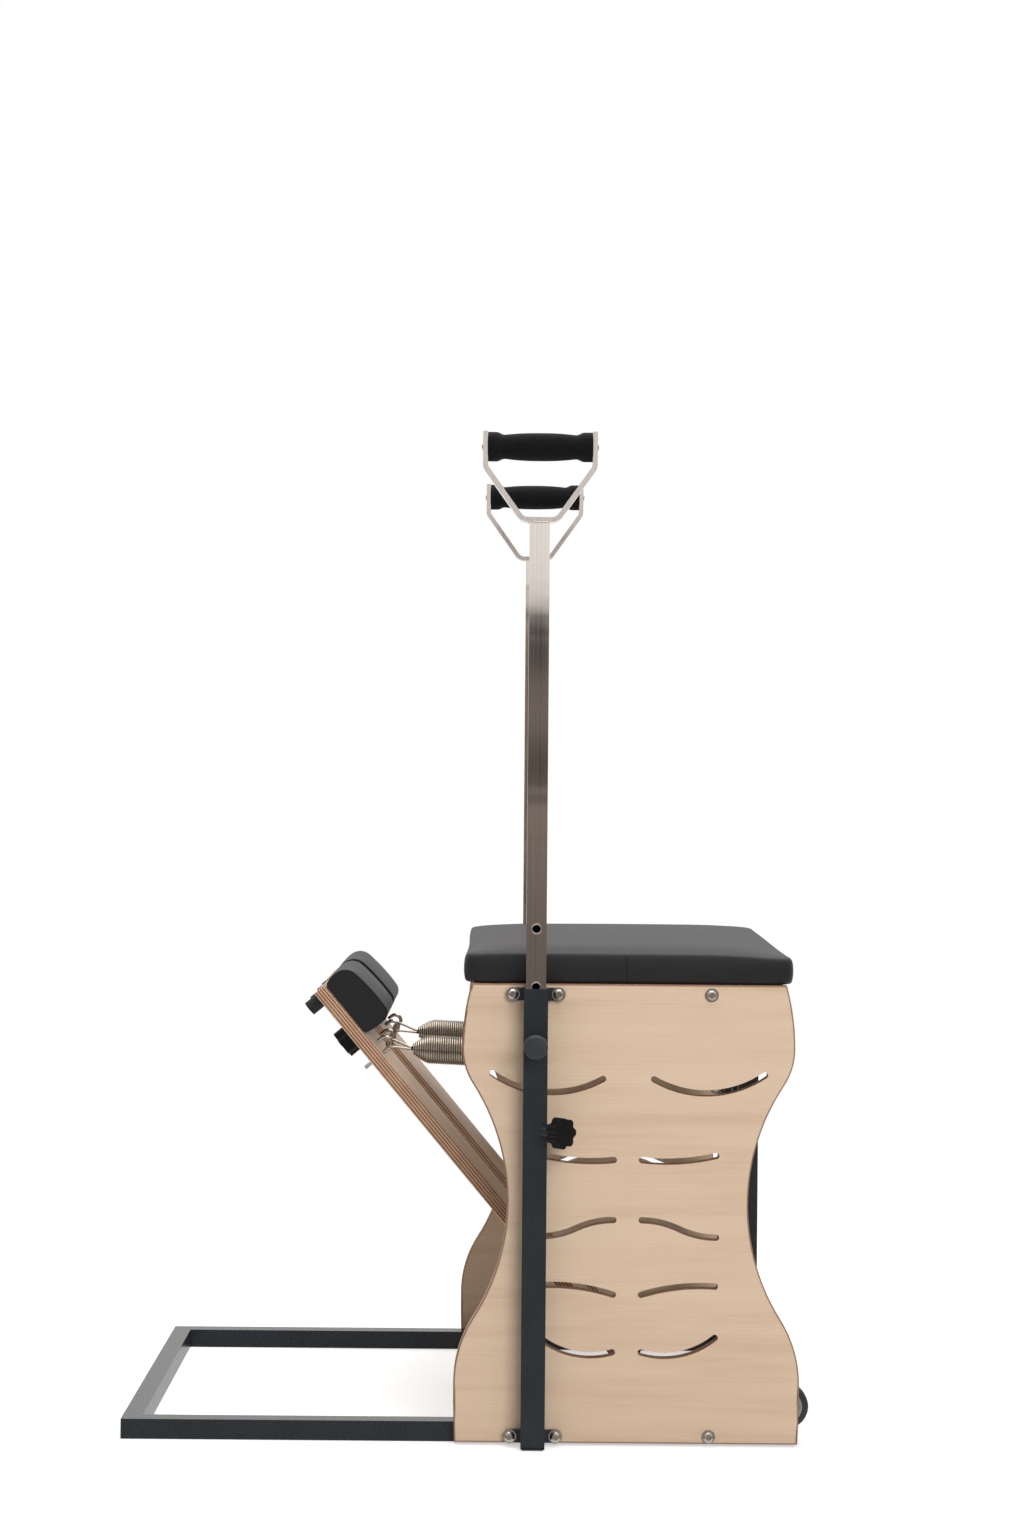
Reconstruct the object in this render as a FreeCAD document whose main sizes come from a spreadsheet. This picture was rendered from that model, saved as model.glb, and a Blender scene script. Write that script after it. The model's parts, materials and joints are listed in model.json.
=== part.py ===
"""Pilates chair: waisted plywood sides, sliding handles and two sprung pedals.

Frame: +X to the rear, +Y to the sitter's right, +Z up, origin under the middle of the whole chair.
"""

import FreeCAD, Part
import math
import operator
import os
from FreeCAD import Placement, Rotation, Vector

doc = FreeCAD.newDocument("pilates_chair")

# Driving dimensions, in millimetres, degrees and counts
SIZES = {
    # side panels
    "panel_thickness": 18,
    "panel_span": 620,
    "panel_bottom": 3,
    "panel_top": 576,
    "panel_edge_round": 3,
    "top_half_width": 197,
    "bulge_half_width": 208,
    "bulge_height": 496,
    "waist_half_width": 150.5,
    "waist_height": 303,
    "waist_radius": 270,
    "hip_half_width": 216,
    "hip_height": 78,
    "bottom_half_width": 214.5,
    "slot_width": 8,
    "slot_1_inner_offset": 32,
    "slot_1_inner_height": 458,
    "slot_1_middle_offset": 94,
    "slot_1_middle_height": 441,
    "slot_1_outer_offset": 170,
    "slot_1_outer_height": 464,
    "slot_2_inner_offset": 17.6,
    "slot_2_inner_height": 357,
    "slot_2_middle_offset": 55,
    "slot_2_middle_height": 355.5,
    "slot_2_outer_offset": 110,
    "slot_2_outer_height": 363,
    "slot_3_inner_offset": 17.7,
    "slot_3_inner_height": 282,
    "slot_3_outer_offset": 110.6,
    "slot_3_outer_height": 261,
    "slot_4_inner_offset": 17.6,
    "slot_4_inner_height": 189,
    "slot_4_middle_offset": 70,
    "slot_4_middle_height": 199.5,
    "slot_4_outer_offset": 109.6,
    "slot_4_outer_height": 200,
    "slot_5_inner_offset": 18,
    "slot_5_inner_height": 117,
    "slot_5_middle_offset": 47,
    "slot_5_middle_height": 113,
    "slot_5_outer_offset": 110,
    "slot_5_outer_height": 136,
    # square tube frame
    "tube_side": 25,
    "tube_wall": 2,
    "frame_front": 633,
    "frame_rear": 174,
    "rail_rear_end": 170,
    "top_frame_front": 165,
    # uprights and what is on them
    "upright_side": 30,
    "upright_wall": 2,
    "upright_offset": 116.7,
    "upright_top": 572,
    "plug_height": 4,
    "plug_insert": 16,
    "plug_bevel": 2.5,
    "lug_thickness": 5,
    "lug_radius": 8,
    "lug_reach": 28.6,
    "bolt_radius": 4,
    "bolt_hole_radius": 4.3,
    "bolt_head_radius": 7,
    "bolt_head_height": 4.4,
    "bolt_crown_radius": 3.8,
    "bolt_rim": 0.8,
    "bolt_grip": 8,
    "socket_radius": 2.9,
    "socket_depth": 2.4,
    "washer_radius": 8.5,
    "washer_height": 1.6,
    "rear_bolt_offset": 103,
    # handles
    "post_side": 25,
    "post_wall": 1.5,
    "post_bottom": 200,
    "index_height": 502,
    "index_pitch": 72,
    "index_hole_radius": 5,
    "index_holes_above": 2,
    "index_holes_below": 3,
    "bracket_width": 143,
    "bracket_above_grip": 20,
    "bracket_knee_drop": 32,
    "bracket_bar": 5,
    "bracket_bend": 10,
    "grip_height": 1244,
    "grip_above_post": 94,
    "grip_gap": 0.5,
    "grip_end_radius": 16,
    "grip_neck_radius": 14.5,
    "grip_belly_radius": 17.5,
    "grip_collar": 11,
    "grip_lip": 2,
    "grip_rod_radius": 6,
    "grip_rod_head": 9,
    "grip_rod_head_height": 4,
    "grip_rod_bevel": 2,
    # index plungers and clamp knobs
    "pin_radius": 4,
    "pin_tip_gap": 0.8,
    "running_clearance": 0.05,
    "plunger_body_radius": 8,
    "plunger_flange_radius": 10,
    "plunger_flange": 4,
    "plunger_body_length": 12,
    "plunger_knob_gap": 0.6,
    "plunger_knob_radius": 15,
    "plunger_knob_length": 17,
    "plunger_knob_flare": 6,
    "plunger_knob_round": 4,
    "clamp_height": 396,
    "clamp_boss_radius": 9,
    "clamp_boss_reach": 30,
    "clamp_tip_gap": 1.2,
    "knob_lobes": 7,
    "knob_lobe_share": 0.3,
    "knob_radius": 19.5,
    "knob_valley": 16,
    "knob_thickness": 15,
    "knob_neck_radius": 9,
    "knob_neck": 7,
    "knob_gap": 0.5,
    # seat
    "seat_depth": 410,
    "seat_side_inset": 1.5,
    "seat_height": 44,
    "seat_corner": 22,
    "seat_draw_in": 2.5,
    "seat_board_margin": 12,
    "seat_board_thickness": 14,
    # pedals
    "pivot_offset": 23.4,
    "pivot_height": 44.6,
    "pedal_angle": 50,
    "pedal_length": 661.1,
    "pedal_heel": 20,
    "board_thickness": 18,
    "board_outer": 187,
    "board_inner": 43,
    "board_edge_round": 2,
    "axle_radius": 8,
    "hinge_radius": 13,
    "hinge_width": 110,
    "hinge_plate": 4,
    "hinge_plate_length": 96,
    "axle_bracket_thickness": 5,
    "axle_bracket_radius": 20,
    "pad_inner": 18,
    "pad_from_end": 3,
    "pad_length": 78,
    "pad_toe_height": 38,
    "pad_heel_height": 41.3,
    "pad_toe_bulge": 5,
    "pad_heel_bulge": 3,
    "pad_end_inset": 0.9,
    "pad_end_round": 6,
    "bumper_radius": 9.5,
    "bumper_from_end": 11.5,
    "bumper_gap": 0.5,
    "pad_knob_from_end": 77,
    # springs and their hooks
    "hook_rod_radius": 2.5,
    "hook_from_end": 100.5,
    "hook_bend": 8,
    "hook_arm": 10,
    "hook_tip_gap": 4,
    "hook_tail": 12,
    "hook_outer": 165,
    "hook_inner": 68,
    "rack_hook_reach": 17,
    "rack_hook_bend": 7,
    "rack_hook_arm": 13,
    "rack_hook_pitch": 60,
    "rack_hook_rows": 3,
    "spring_radius": 18.5,
    "spring_wire_radius": 1.6,
    "spring_turns": 48,
    "spring_cone_turns": 4,
    "spring_cone_length": 20,
    "spring_tip_radius": 5,
    "spring_tip_reach": 29,
    "spring_fall_angle": 2.6,
    "eye_radius": 6.3,
    "eye_drop": 5,
    "eye_roll_angle": 40,
    "eye_neck_bend": 5,
    "eye_play": 0.4,
    "eye_turn_angle": 305,
    # transport wheels
    "wheel_radius": 28,
    "wheel_offset": 202,
    "wheel_height": 46,
    "wheel_width": 20,
    "wheel_gap": 2,
    "tyre_shoulder": 4,
    "hub_radius": 20,
    "hub_rim": 4,
    "hub_draft": 1,
    "hub_web": 8,
    "wheel_bracket_thickness": 4,
    "wheel_bracket_radius": 13,
}

sheet = doc.addObject("Spreadsheet::Sheet", "Sizes")
for row, (alias, number) in enumerate(SIZES.items(), 1):
    sheet.set("A%d" % row, alias)
    sheet.set("B%d" % row, str(number))
    sheet.setAlias("B%d" % row, alias)
doc.recompute()

OPERATIONS = {"+": operator.add, "-": operator.sub, "*": operator.mul, "/": operator.truediv}


class Size:
    """A size that keeps the sheet formula it comes from."""

    def __init__(self, formula, value):
        self.formula = formula
        self.value = value

    def __float__(self):
        return float(self.value)

    def joined(self, sign, other, swapped=False):
        pair = (as_size(other), self) if swapped else (self, as_size(other))
        formula = "(%s %s %s)" % (pair[0].formula, sign, pair[1].formula)
        return Size(formula, OPERATIONS[sign](pair[0].value, pair[1].value))

    def __add__(self, other):
        return self.joined("+", other)

    def __radd__(self, other):
        return self.joined("+", other, True)

    def __sub__(self, other):
        return self.joined("-", other)

    def __rsub__(self, other):
        return self.joined("-", other, True)

    def __mul__(self, other):
        return self.joined("*", other)

    def __rmul__(self, other):
        return self.joined("*", other, True)

    def __truediv__(self, other):
        return self.joined("/", other)

    def __neg__(self):
        return self.joined("*", -1)


def as_size(number):
    """A plain number as a size with no cell behind it."""
    return number if isinstance(number, Size) else Size("(%r)" % number, number)


class Cells:
    """The sheet's cells by name."""

    def __getattr__(self, alias):
        return Size("Sizes." + alias, float(sheet.get(alias)))


s = Cells()
nodes = []


def mm(size):
    return float(size)


def bind(item, path, size):
    item.setExpression(path, as_size(size).formula)


def node(item, label):
    """Keep an object as a sub-part under its own name."""
    item.Label = label
    nodes.append(item)
    return item


def put(item, x, y, z, rotation=None):
    """Place an object, with its position bound to the sheet."""
    item.Placement = Placement(Vector(mm(x), mm(y), mm(z)), rotation or Rotation())
    for axis, size in zip("xyz", (x, y, z)):
        bind(item, "Placement.Base." + axis, size)
    return item


def box(low, high):
    item = doc.addObject("Part::Box", "block")
    for side, start, end in zip(("Length", "Width", "Height"), low, high):
        bind(item, side, end - start)
    return put(item, *low)


TURN_TO = {
    "x": Rotation(Vector(0, 1, 0), 90),
    "y": Rotation(Vector(1, 0, 0), -90),
    "z": Rotation(),
}


def rod(start, radius, length, along):
    item = doc.addObject("Part::Cylinder", "round")
    bind(item, "Radius", radius)
    bind(item, "Height", length)
    return put(item, *start, TURN_TO[along])


def group(items):
    item = doc.addObject("Part::Compound", "group")
    item.Links = items
    return item


def cut(base, tools):
    item = doc.addObject("Part::Cut", "cut")
    item.Base = base
    item.Tool = tools[0] if len(tools) == 1 else group(tools)
    return item


def union(items):
    item = doc.addObject("Part::MultiFuse", "union")
    item.Shapes = items
    return item


def rounded(base, radius, keep):
    """Round the edges of an object that keep() picks."""
    doc.recompute()
    item = doc.addObject("Part::Fillet", "rounded")
    item.Base = base
    picked = [number for number, edge in enumerate(base.Shape.Edges, 1) if keep(edge)]
    item.Edges = [(number, mm(radius), mm(radius)) for number in picked]
    return item


def mirrored(source):
    """The same piece on the other side of the chair."""
    item = doc.addObject("Part::Mirroring", "mirrored")
    item.Source = source
    item.Normal = Vector(0, 1, 0)
    return item


def feature(shape, label):
    item = doc.addObject("Part::Feature", label)
    item.Shape = shape
    return node(item, label)


def both_sides(make, name):
    """Build a piece on the left and mirror it to the right."""
    left = node(make(), "left_" + name)
    node(mirrored(left), "right_" + name)


def pair(make, name):
    """Build a piece on the left, mirror it, and keep the two as one sub-part."""
    left = make()
    node(group([left, mirrored(left)]), name)


def flat(x, z):
    return Vector(mm(x), mm(z), 0)


def line(start, end):
    return Part.LineSegment(start, end)


def arc(start, middle, end):
    return Part.ArcOfCircle(start, middle, end)


# Share of a corner's radius between its sharp corner and a 45 degree point on its arc
CORNER = 1 - math.sqrt(0.5)


def polar(centre, radius, angle):
    return centre + Vector(radius * math.cos(angle), radius * math.sin(angle), 0)


def sketch_in(body, name, edges):
    sketch = body.newObject("Sketcher::SketchObject", name)
    plane = next(item for item in body.Origin.OriginFeatures if item.Role == "XZ_Plane")
    sketch.AttachmentSupport = [(plane, "")]
    sketch.MapMode = "FlatFace"
    sketch.addGeometry(edges)
    return sketch


def plate_body(name, edges, depth):
    """A plate with an XZ outline, from Y = -depth to Y = 0."""
    body = doc.addObject("PartDesign::Body", name)
    pad = body.newObject("PartDesign::Pad", name + "_pad")
    pad.Profile = sketch_in(body, name + "_outline", edges)
    bind(pad, "Length", depth)
    doc.recompute()
    return body


def turned_body(name, edges):
    """A piece turned about X, from an outline in X and radius."""
    body = doc.addObject("PartDesign::Body", name)
    turn = body.newObject("PartDesign::Revolution", name + "_turn")
    sketch = sketch_in(body, name + "_outline", edges)
    turn.Profile = sketch
    turn.ReferenceAxis = (sketch, ["H_Axis"])
    turn.Angle = 360
    doc.recompute()
    return body


def outline(points):
    """Straight edges through the points, closed."""
    return [line(a, b) for a, b in zip(points, points[1:] + points[:1])]


def copies(shape, places, label):
    """Several copies of one solid, as one sub-part."""
    solids = [shape.transformed(place.toMatrix()) for place in places]
    return feature(Part.makeCompound(solids), label)


def pipe(edges, radius):
    """A round bar along a path of lines and arcs."""
    path = Part.Wire([edge.toShape() for edge in edges])
    first = path.OrderedEdges[0]
    start = first.valueAt(first.FirstParameter)
    along = first.tangentAt(first.FirstParameter)
    section = Part.Wire([Part.makeCircle(radius, start, along)])
    return path.makePipeShell([section], True, False)


# Places that several pieces share
zero = as_size(0)
panel_x = (s.frame_front - s.wheel_offset - s.wheel_radius) / 2
panel_outer = s.panel_span / 2
panel_inner = panel_outer - s.panel_thickness
rail_inner = panel_inner - s.tube_side
upright_x = panel_x - s.upright_offset
upright_y = panel_outer + s.upright_side / 2
post_top = s.grip_height - s.grip_above_post
rear_tube_x = panel_x + s.frame_rear - s.tube_side
top_rail_z = s.panel_top - s.tube_side
pivot_x = panel_x + s.pivot_offset
bolt_levels = (s.tube_side / 2, s.panel_top - s.tube_side / 2)
lug_bolts = (upright_x - s.lug_reach, upright_x + s.lug_reach)
rear_bolt_x = panel_x + s.rear_bolt_offset


# Side panels: a waisted outline of tangent arcs, with rows of curved slots
def half_outline():
    """Right half of the panel's edge, from the top corner to the bottom corner."""
    top = flat(s.top_half_width, s.panel_top)
    bulge = flat(s.bulge_half_width, s.bulge_height)
    hip = flat(s.hip_half_width, s.hip_height)
    bottom = flat(s.bottom_half_width, s.panel_bottom)
    waist_r = mm(s.waist_radius)
    waist = flat(s.waist_half_width + s.waist_radius, s.waist_height)

    def corner_circle(point):
        """Circle that is upright at the point and touches the waist's circle."""
        across = waist.x - point.x
        rise = waist.y - point.y
        radius = (across ** 2 + rise ** 2 - waist_r ** 2) / (2 * (waist_r - across))
        centre = point - Vector(radius, 0, 0)
        touch = math.atan2(waist.y - centre.y, waist.x - centre.x)
        return centre, radius, touch

    def upright_arc(point, end):
        """Middle of the arc that is upright at the point and runs to the end."""
        across = point.x - end.x
        rise = end.y - point.y
        radius = (across ** 2 + rise ** 2) / (2 * across)
        centre = point - Vector(radius, 0, 0)
        return polar(centre, radius, math.asin(rise / radius) / 2)

    shoulder, shoulder_r, shoulder_turn = corner_circle(bulge)
    thigh, thigh_r, thigh_turn = corner_circle(hip)
    upper_touch = polar(shoulder, shoulder_r, shoulder_turn)
    lower_touch = polar(thigh, thigh_r, thigh_turn)
    return [
        arc(top, upright_arc(bulge, top), bulge),
        arc(bulge, polar(shoulder, shoulder_r, shoulder_turn / 2), upper_touch),
        arc(upper_touch, flat(s.waist_half_width, s.waist_height), lower_touch),
        arc(lower_touch, polar(thigh, thigh_r, thigh_turn / 2), hip),
        arc(hip, upright_arc(hip, bottom), bottom),
    ]


def flipped(point):
    return Vector(-point.x, point.y, 0)


def flipped_edge(edge):
    """The same edge on the other side of X = 0, run the other way."""
    start = flipped(edge.EndPoint)
    end = flipped(edge.StartPoint)
    if isinstance(edge, Part.LineSegment):
        return line(start, end)
    middle = edge.value((edge.FirstParameter + edge.LastParameter) / 2)
    return arc(start, flipped(middle), end)


def slot_edges(path):
    """Round-ended slot along a chain of arcs, each a start, a middle and an end."""
    reach = mm(s.slot_width) / 2

    def offset_arc(points, side):
        centre = arc(*points).Center
        first = points[1] - points[0]
        second = points[2] - points[1]
        turn = 1 if first.x * second.y - first.y * second.x > 0 else -1
        return [point + (centre - point).normalize() * (turn * side * reach) for point in points]

    left = [offset_arc(points, 1) for points in path]
    right = [offset_arc(points, -1)[::-1] for points in reversed(path)]

    def cap(start, end):
        across = end - start
        tip = (start + end + Vector(-across.y, across.x, 0)) / 2
        return arc(start, tip, end)

    edges = [arc(*points) for points in left]
    edges.append(cap(left[-1][2], right[0][0]))
    edges += [arc(*points) for points in right]
    edges.append(cap(right[-1][2], left[0][0]))
    return edges


def wave(start, end):
    """Two arcs that leave the start and reach the end level."""
    half = (end - start) / 2
    radius = (half.x ** 2 + half.y ** 2) / (2 * half.y)
    turn = math.asin(half.x / radius)
    sag = Vector(radius * math.sin(turn / 2), radius * (1 - math.cos(turn / 2)), 0)
    middle = start + half
    return [(start, start + sag, middle), (middle, end - sag, end)]


def slot_point(row, place):
    name = "slot_%d_%s_" % (row, place)
    return flat(getattr(s, name + "offset"), getattr(s, name + "height"))


def bowed(row):
    """One arc through a row's three points."""
    return [tuple(slot_point(row, place) for place in ("inner", "middle", "outer"))]


SLOT_ROWS = [bowed(1), bowed(2), wave(slot_point(3, "inner"), slot_point(3, "outer")), bowed(4), bowed(5)]


def panel_edges():
    right_half = half_outline()
    left_half = [flipped_edge(edge) for edge in reversed(right_half)]
    top = line(left_half[-1].EndPoint, right_half[0].StartPoint)
    bottom = line(right_half[-1].EndPoint, left_half[0].StartPoint)
    return right_half + [bottom] + left_half + [top]


def panel_holes():
    holes = []
    for level in bolt_levels:
        for x in (*lug_bolts, rear_bolt_x):
            centre = flat(x - panel_x, level)
            holes.append(Part.Circle(centre, Vector(0, 0, 1), mm(s.bolt_hole_radius)))
    return holes


def side_panel(name, far_face):
    rim = panel_edges()
    edges = list(rim)
    for row in SLOT_ROWS:
        edges += slot_edges(row)
        edges += slot_edges([tuple(flipped(point) for point in points) for points in row])
    body = plate_body(name, edges + panel_holes(), s.panel_thickness)
    rim_wire = Part.Wire([edge.toShape() for edge in rim])
    rim_wire.rotate(Vector(), Vector(1, 0, 0), 90)
    faces = (0, -mm(s.panel_thickness))

    def on_rim(edge):
        middle = edge.valueAt((edge.FirstParameter + edge.LastParameter) / 2)
        level = min(abs(middle.y - face) for face in faces)
        on_line = rim_wire.distToShape(Part.Vertex(middle.x, 0, middle.z))[0]
        return level < 0.01 and on_line < 0.01

    solid = body.Tip
    picked = ["Edge%d" % n for n, edge in enumerate(solid.Shape.Edges, 1) if on_rim(edge)]
    fillet = body.newObject("PartDesign::Fillet", name + "_rounding")
    fillet.Base = (solid, picked)
    bind(fillet, "Radius", s.panel_edge_round)
    return node(put(body, panel_x, far_face, 0), name)


side_panel("left_side_panel", -panel_inner)
side_panel("right_side_panel", panel_outer)


# Square tube frame
def hollow(low, high, wall, open_ends):
    """Square tube between two corners; open_ends says which ends of its length are open."""
    spans = [mm(b) - mm(a) for a, b in zip(low, high)]
    length_axis = spans.index(max(spans))
    inner_low = [start + wall for start in low]
    inner_high = [end - wall for end in high]
    if open_ends[0]:
        inner_low[length_axis] = low[length_axis]
    if open_ends[1]:
        inner_high[length_axis] = high[length_axis]
    return cut(box(low, high), [box(inner_low, inner_high)])


def bolted_rail(front, rear, bottom, open_ends):
    low = (front, -panel_inner, bottom)
    high = (rear, -rail_inner, bottom + s.tube_side)
    rail = hollow(low, high, s.tube_wall, open_ends)
    holes = []
    for x in (*lug_bolts, rear_bolt_x):
        start = (x, -panel_inner, bottom + s.tube_side / 2)
        holes.append(rod(start, s.bolt_hole_radius, s.tube_wall, "y"))
    return cut(rail, holes)


def cross_tube(front, bottom):
    low = (front, -rail_inner, bottom)
    high = (front + s.tube_side, rail_inner, bottom + s.tube_side)
    return hollow(low, high, s.tube_wall, (True, True))


frame_front_x = panel_x - s.frame_front
top_front_x = panel_x - s.top_frame_front


def floor_rail():
    return bolted_rail(frame_front_x, panel_x + s.rail_rear_end, zero, (False, False))


def top_rail():
    return bolted_rail(top_front_x, panel_x + s.frame_rear, top_rail_z, (True, True))


both_sides(floor_rail, "floor_rail")
both_sides(top_rail, "top_rail")
node(cross_tube(frame_front_x, zero), "front_floor_tube")
node(cross_tube(rear_tube_x, zero), "rear_floor_tube")
node(cross_tube(top_front_x, top_rail_z), "front_top_tube")
node(cross_tube(rear_tube_x, top_rail_z), "rear_top_tube")


# Spring rack: four posts behind the springs
def rack_post(centre):
    low = (rear_tube_x, -centre - s.tube_side / 2, s.tube_side)
    high = (rear_tube_x + s.tube_side, -centre + s.tube_side / 2, top_rail_z)
    return hollow(low, high, s.tube_wall, (True, True))


both_sides(lambda: rack_post(s.hook_outer), "outer_rack_post")
both_sides(lambda: rack_post(s.hook_inner), "inner_rack_post")

# Where a spring's front eye sits on its pedal hook, in the pedal's own frame with the pedal level
pedal_turn = math.radians(mm(s.pedal_angle))
pedal_place = Placement(
    Vector(mm(pivot_x), 0, mm(s.pivot_height)), Rotation(Vector(0, 1, 0), mm(s.pedal_angle))
)
hook_shank = s.hook_from_end + 2 * s.hook_bend
hook_root = Vector(mm(s.hook_from_end - s.pedal_length), 0, mm(s.board_thickness))
hook_centre = hook_root + Vector(mm(s.hook_bend), 0, mm(s.hook_arm))
spring_fall = math.radians(mm(s.spring_fall_angle))
pull = Vector(math.cos(pedal_turn - spring_fall), 0, math.sin(pedal_turn - spring_fall))
hook_seat = pedal_place.multVec(hook_centre + pull * mm(s.hook_bend))
rack_seat_x = mm(rear_tube_x - s.rack_hook_reach)
rack_seat = Vector(rack_seat_x, 0, hook_seat.z - (rack_seat_x - hook_seat.x) * math.tan(spring_fall))


# Rack hooks: bent bars that turn up in front of the posts
def rack_hook():
    """Hook whose upright arm is at the origin, where an eye rides on it."""
    bend = mm(s.rack_hook_bend)
    low = -bend - mm(s.eye_play) * 2
    root = Vector(mm(s.rack_hook_reach), 0, low)
    corner = Vector(bend, 0, low)
    centre = Vector(bend, 0, low + bend)
    middle = centre - Vector(bend, 0, bend) * math.sqrt(0.5)
    tip = Vector(0, 0, low + bend)
    end = Vector(0, 0, low + bend + mm(s.rack_hook_arm))
    return pipe([line(root, corner), arc(corner, middle, tip), line(tip, end)], mm(s.hook_rod_radius))


hook_places = []
for row in range(int(mm(s.rack_hook_rows))):
    drop = Vector(0, 0, -row * mm(s.rack_hook_pitch))
    for offset in (-s.hook_outer, -s.hook_inner, s.hook_inner, s.hook_outer):
        hook_places.append(Placement(rack_seat + drop + Vector(0, mm(offset), 0), Rotation()))
copies(rack_hook(), hook_places, "rack_hooks")

# Pedal axle between two brackets on the floor rails
axle_start = (pivot_x, -rail_inner, s.pivot_height)
node(rod(axle_start, s.axle_radius, 2 * rail_inner, "y"), "pedal_axle")


def axle_bracket():
    foot_low = (pivot_x - s.axle_bracket_radius, -rail_inner, zero)
    foot_high = (
        pivot_x + s.axle_bracket_radius,
        -rail_inner + s.axle_bracket_thickness,
        s.pivot_height,
    )
    eye = rod(axle_start, s.axle_bracket_radius, s.axle_bracket_thickness, "y")
    hole = rod(
        axle_start, s.axle_radius + s.running_clearance, s.axle_bracket_thickness, "y"
    )
    return cut(union([box(foot_low, foot_high), eye]), [hole])


pair(axle_bracket, "axle_brackets")

# Pedals, built level with the pivot at the origin and then raised
board_front = -s.pedal_length
board_middle = (s.board_outer + s.board_inner) / 2
pad_middle = (s.board_outer + s.pad_inner) / 2

def raised(item):
    """Put a level pedal piece on the pivot at the pedal's rise."""
    put(item, pivot_x, zero, s.pivot_height, Rotation(Vector(0, 1, 0), mm(s.pedal_angle)))
    bind(item, "Placement.Rotation.Angle", s.pedal_angle)
    return item


def pedal_hinge():
    side = -board_middle - s.hinge_width / 2
    sleeve = rod((zero, side, zero), s.hinge_radius, s.hinge_width, "y")
    leaf = box(
        (-s.hinge_plate_length, side, -s.hinge_plate), (zero, side + s.hinge_width, zero)
    )
    bore = rod((zero, side, zero), s.axle_radius + s.running_clearance, s.hinge_width, "y")
    return raised(cut(union([sleeve, leaf]), [bore]))


both_sides(pedal_hinge, "pedal_hinge")


def pedal_board():
    low = (board_front, -s.board_outer, zero)
    high = (-s.pedal_heel, -s.board_inner, s.board_thickness)
    board = rounded(box(low, high), s.board_edge_round, lambda edge: True)
    holes = []
    for offset in (s.hook_outer, s.hook_inner):
        start = (board_front + hook_shank, -offset, zero)
        radius = s.hook_rod_radius + s.running_clearance
        holes.append(rod(start, radius, s.board_thickness, "z"))
    knob_start = (board_front + s.pad_knob_from_end, -pad_middle, zero)
    holes.append(
        rod(knob_start, s.pin_radius + s.running_clearance, s.board_thickness, "z")
    )
    return raised(cut(board, holes))


both_sides(pedal_board, "pedal_board")


def pad_section(across, inset):
    """Foot pad's side profile at one place across it: low at the toe, full at the heel."""
    toe = mm(board_front + s.pad_from_end)
    length = mm(s.pad_length)
    base = mm(s.board_thickness)
    low = mm(s.pad_toe_height) - inset
    high = mm(s.pad_heel_height) - inset

    def at(along, height):
        return Vector(toe + along, across, base + height)

    toe_bulge = mm(s.pad_toe_bulge) - inset
    heel_bulge = mm(s.pad_heel_bulge) - inset
    toe_foot = at(inset, 0)
    toe_side = at(-toe_bulge, low * 0.49)
    toe_top = at(length * 0.13 + inset, low)
    heel_top = at(length * 0.87 - inset, high)
    heel_side = at(length + heel_bulge, high * 0.75)
    heel_foot = at(length - inset, 0)
    return Part.Wire([
        arc(toe_foot, at(-toe_bulge * 0.75, low * 0.22), toe_side).toShape(),
        arc(toe_side, at(inset - length * 0.006, low * 0.83), toe_top).toShape(),
        arc(toe_top, at(length * 0.49, high), heel_top).toShape(),
        arc(heel_top, at(length * 0.99 - inset, high * 0.91), heel_side).toShape(),
        arc(heel_side, at(length + heel_bulge * 0.9, high * 0.36), heel_foot).toShape(),
        line(heel_foot, toe_foot).toShape(),
    ])


# Shares of the rounding at a pad's end, each with its share of the end's inset
PAD_END = [(0, 1), (0.2, 0.45), (0.5, 0.15), (1, 0.05)]


def foot_pad():
    inset = mm(s.pad_end_inset)
    reach = mm(s.pad_end_round)
    outer = -mm(s.board_outer)
    inner = -mm(s.pad_inner)
    sections = [pad_section(outer + along * reach, share * inset) for along, share in PAD_END]
    sections.append(pad_section((outer + inner) / 2, 0))
    sections += [pad_section(inner - along * reach, share * inset) for along, share in reversed(PAD_END)]
    item = doc.addObject("Part::Feature", "pad_form")
    item.Shape = Part.makeLoft(sections, True, True)
    return raised(item)


both_sides(foot_pad, "foot_pad")

bumper_length = s.pivot_height - s.tube_side - s.bumper_gap


def bumpers():
    stops = []
    for offset in (s.hook_outer, s.hook_inner):
        start = (board_front + s.bumper_from_end, -offset, -bumper_length)
        stops.append(rod(start, s.bumper_radius, bumper_length, "z"))
    return raised(group(stops))


both_sides(bumpers, "bumpers")


def pedal_hook():
    """Bent rod that comes up through the board and turns over towards the toe."""
    fall = hook_centre - Vector(mm(s.hook_bend), 0, 0)
    crown = hook_centre + Vector(0, 0, mm(s.hook_bend))
    rise = hook_centre + Vector(mm(s.hook_bend), 0, 0)
    tail = Vector(rise.x, 0, -mm(s.hook_tail))
    tip = hook_root + Vector(0, 0, mm(s.hook_tip_gap))
    path = [line(tail, rise), arc(rise, bend_middle(hook_centre, rise, crown), crown)]
    path += [arc(crown, bend_middle(hook_centre, crown, fall), fall), line(fall, tip)]
    return pipe(path, mm(s.hook_rod_radius))


def bend_middle(centre, start, end):
    half = (start + end) / 2 - centre
    return centre + half.normalize() * (start - centre).Length


def pedal_hooks():
    solid = pedal_hook()
    item = doc.addObject("Part::Feature", "hook_pair")
    offsets = (-s.hook_outer, -s.hook_inner)
    item.Shape = Part.makeCompound([solid.translated(Vector(0, mm(y), 0)) for y in offsets])
    return raised(item)


both_sides(pedal_hooks, "spring_hooks")


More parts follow.
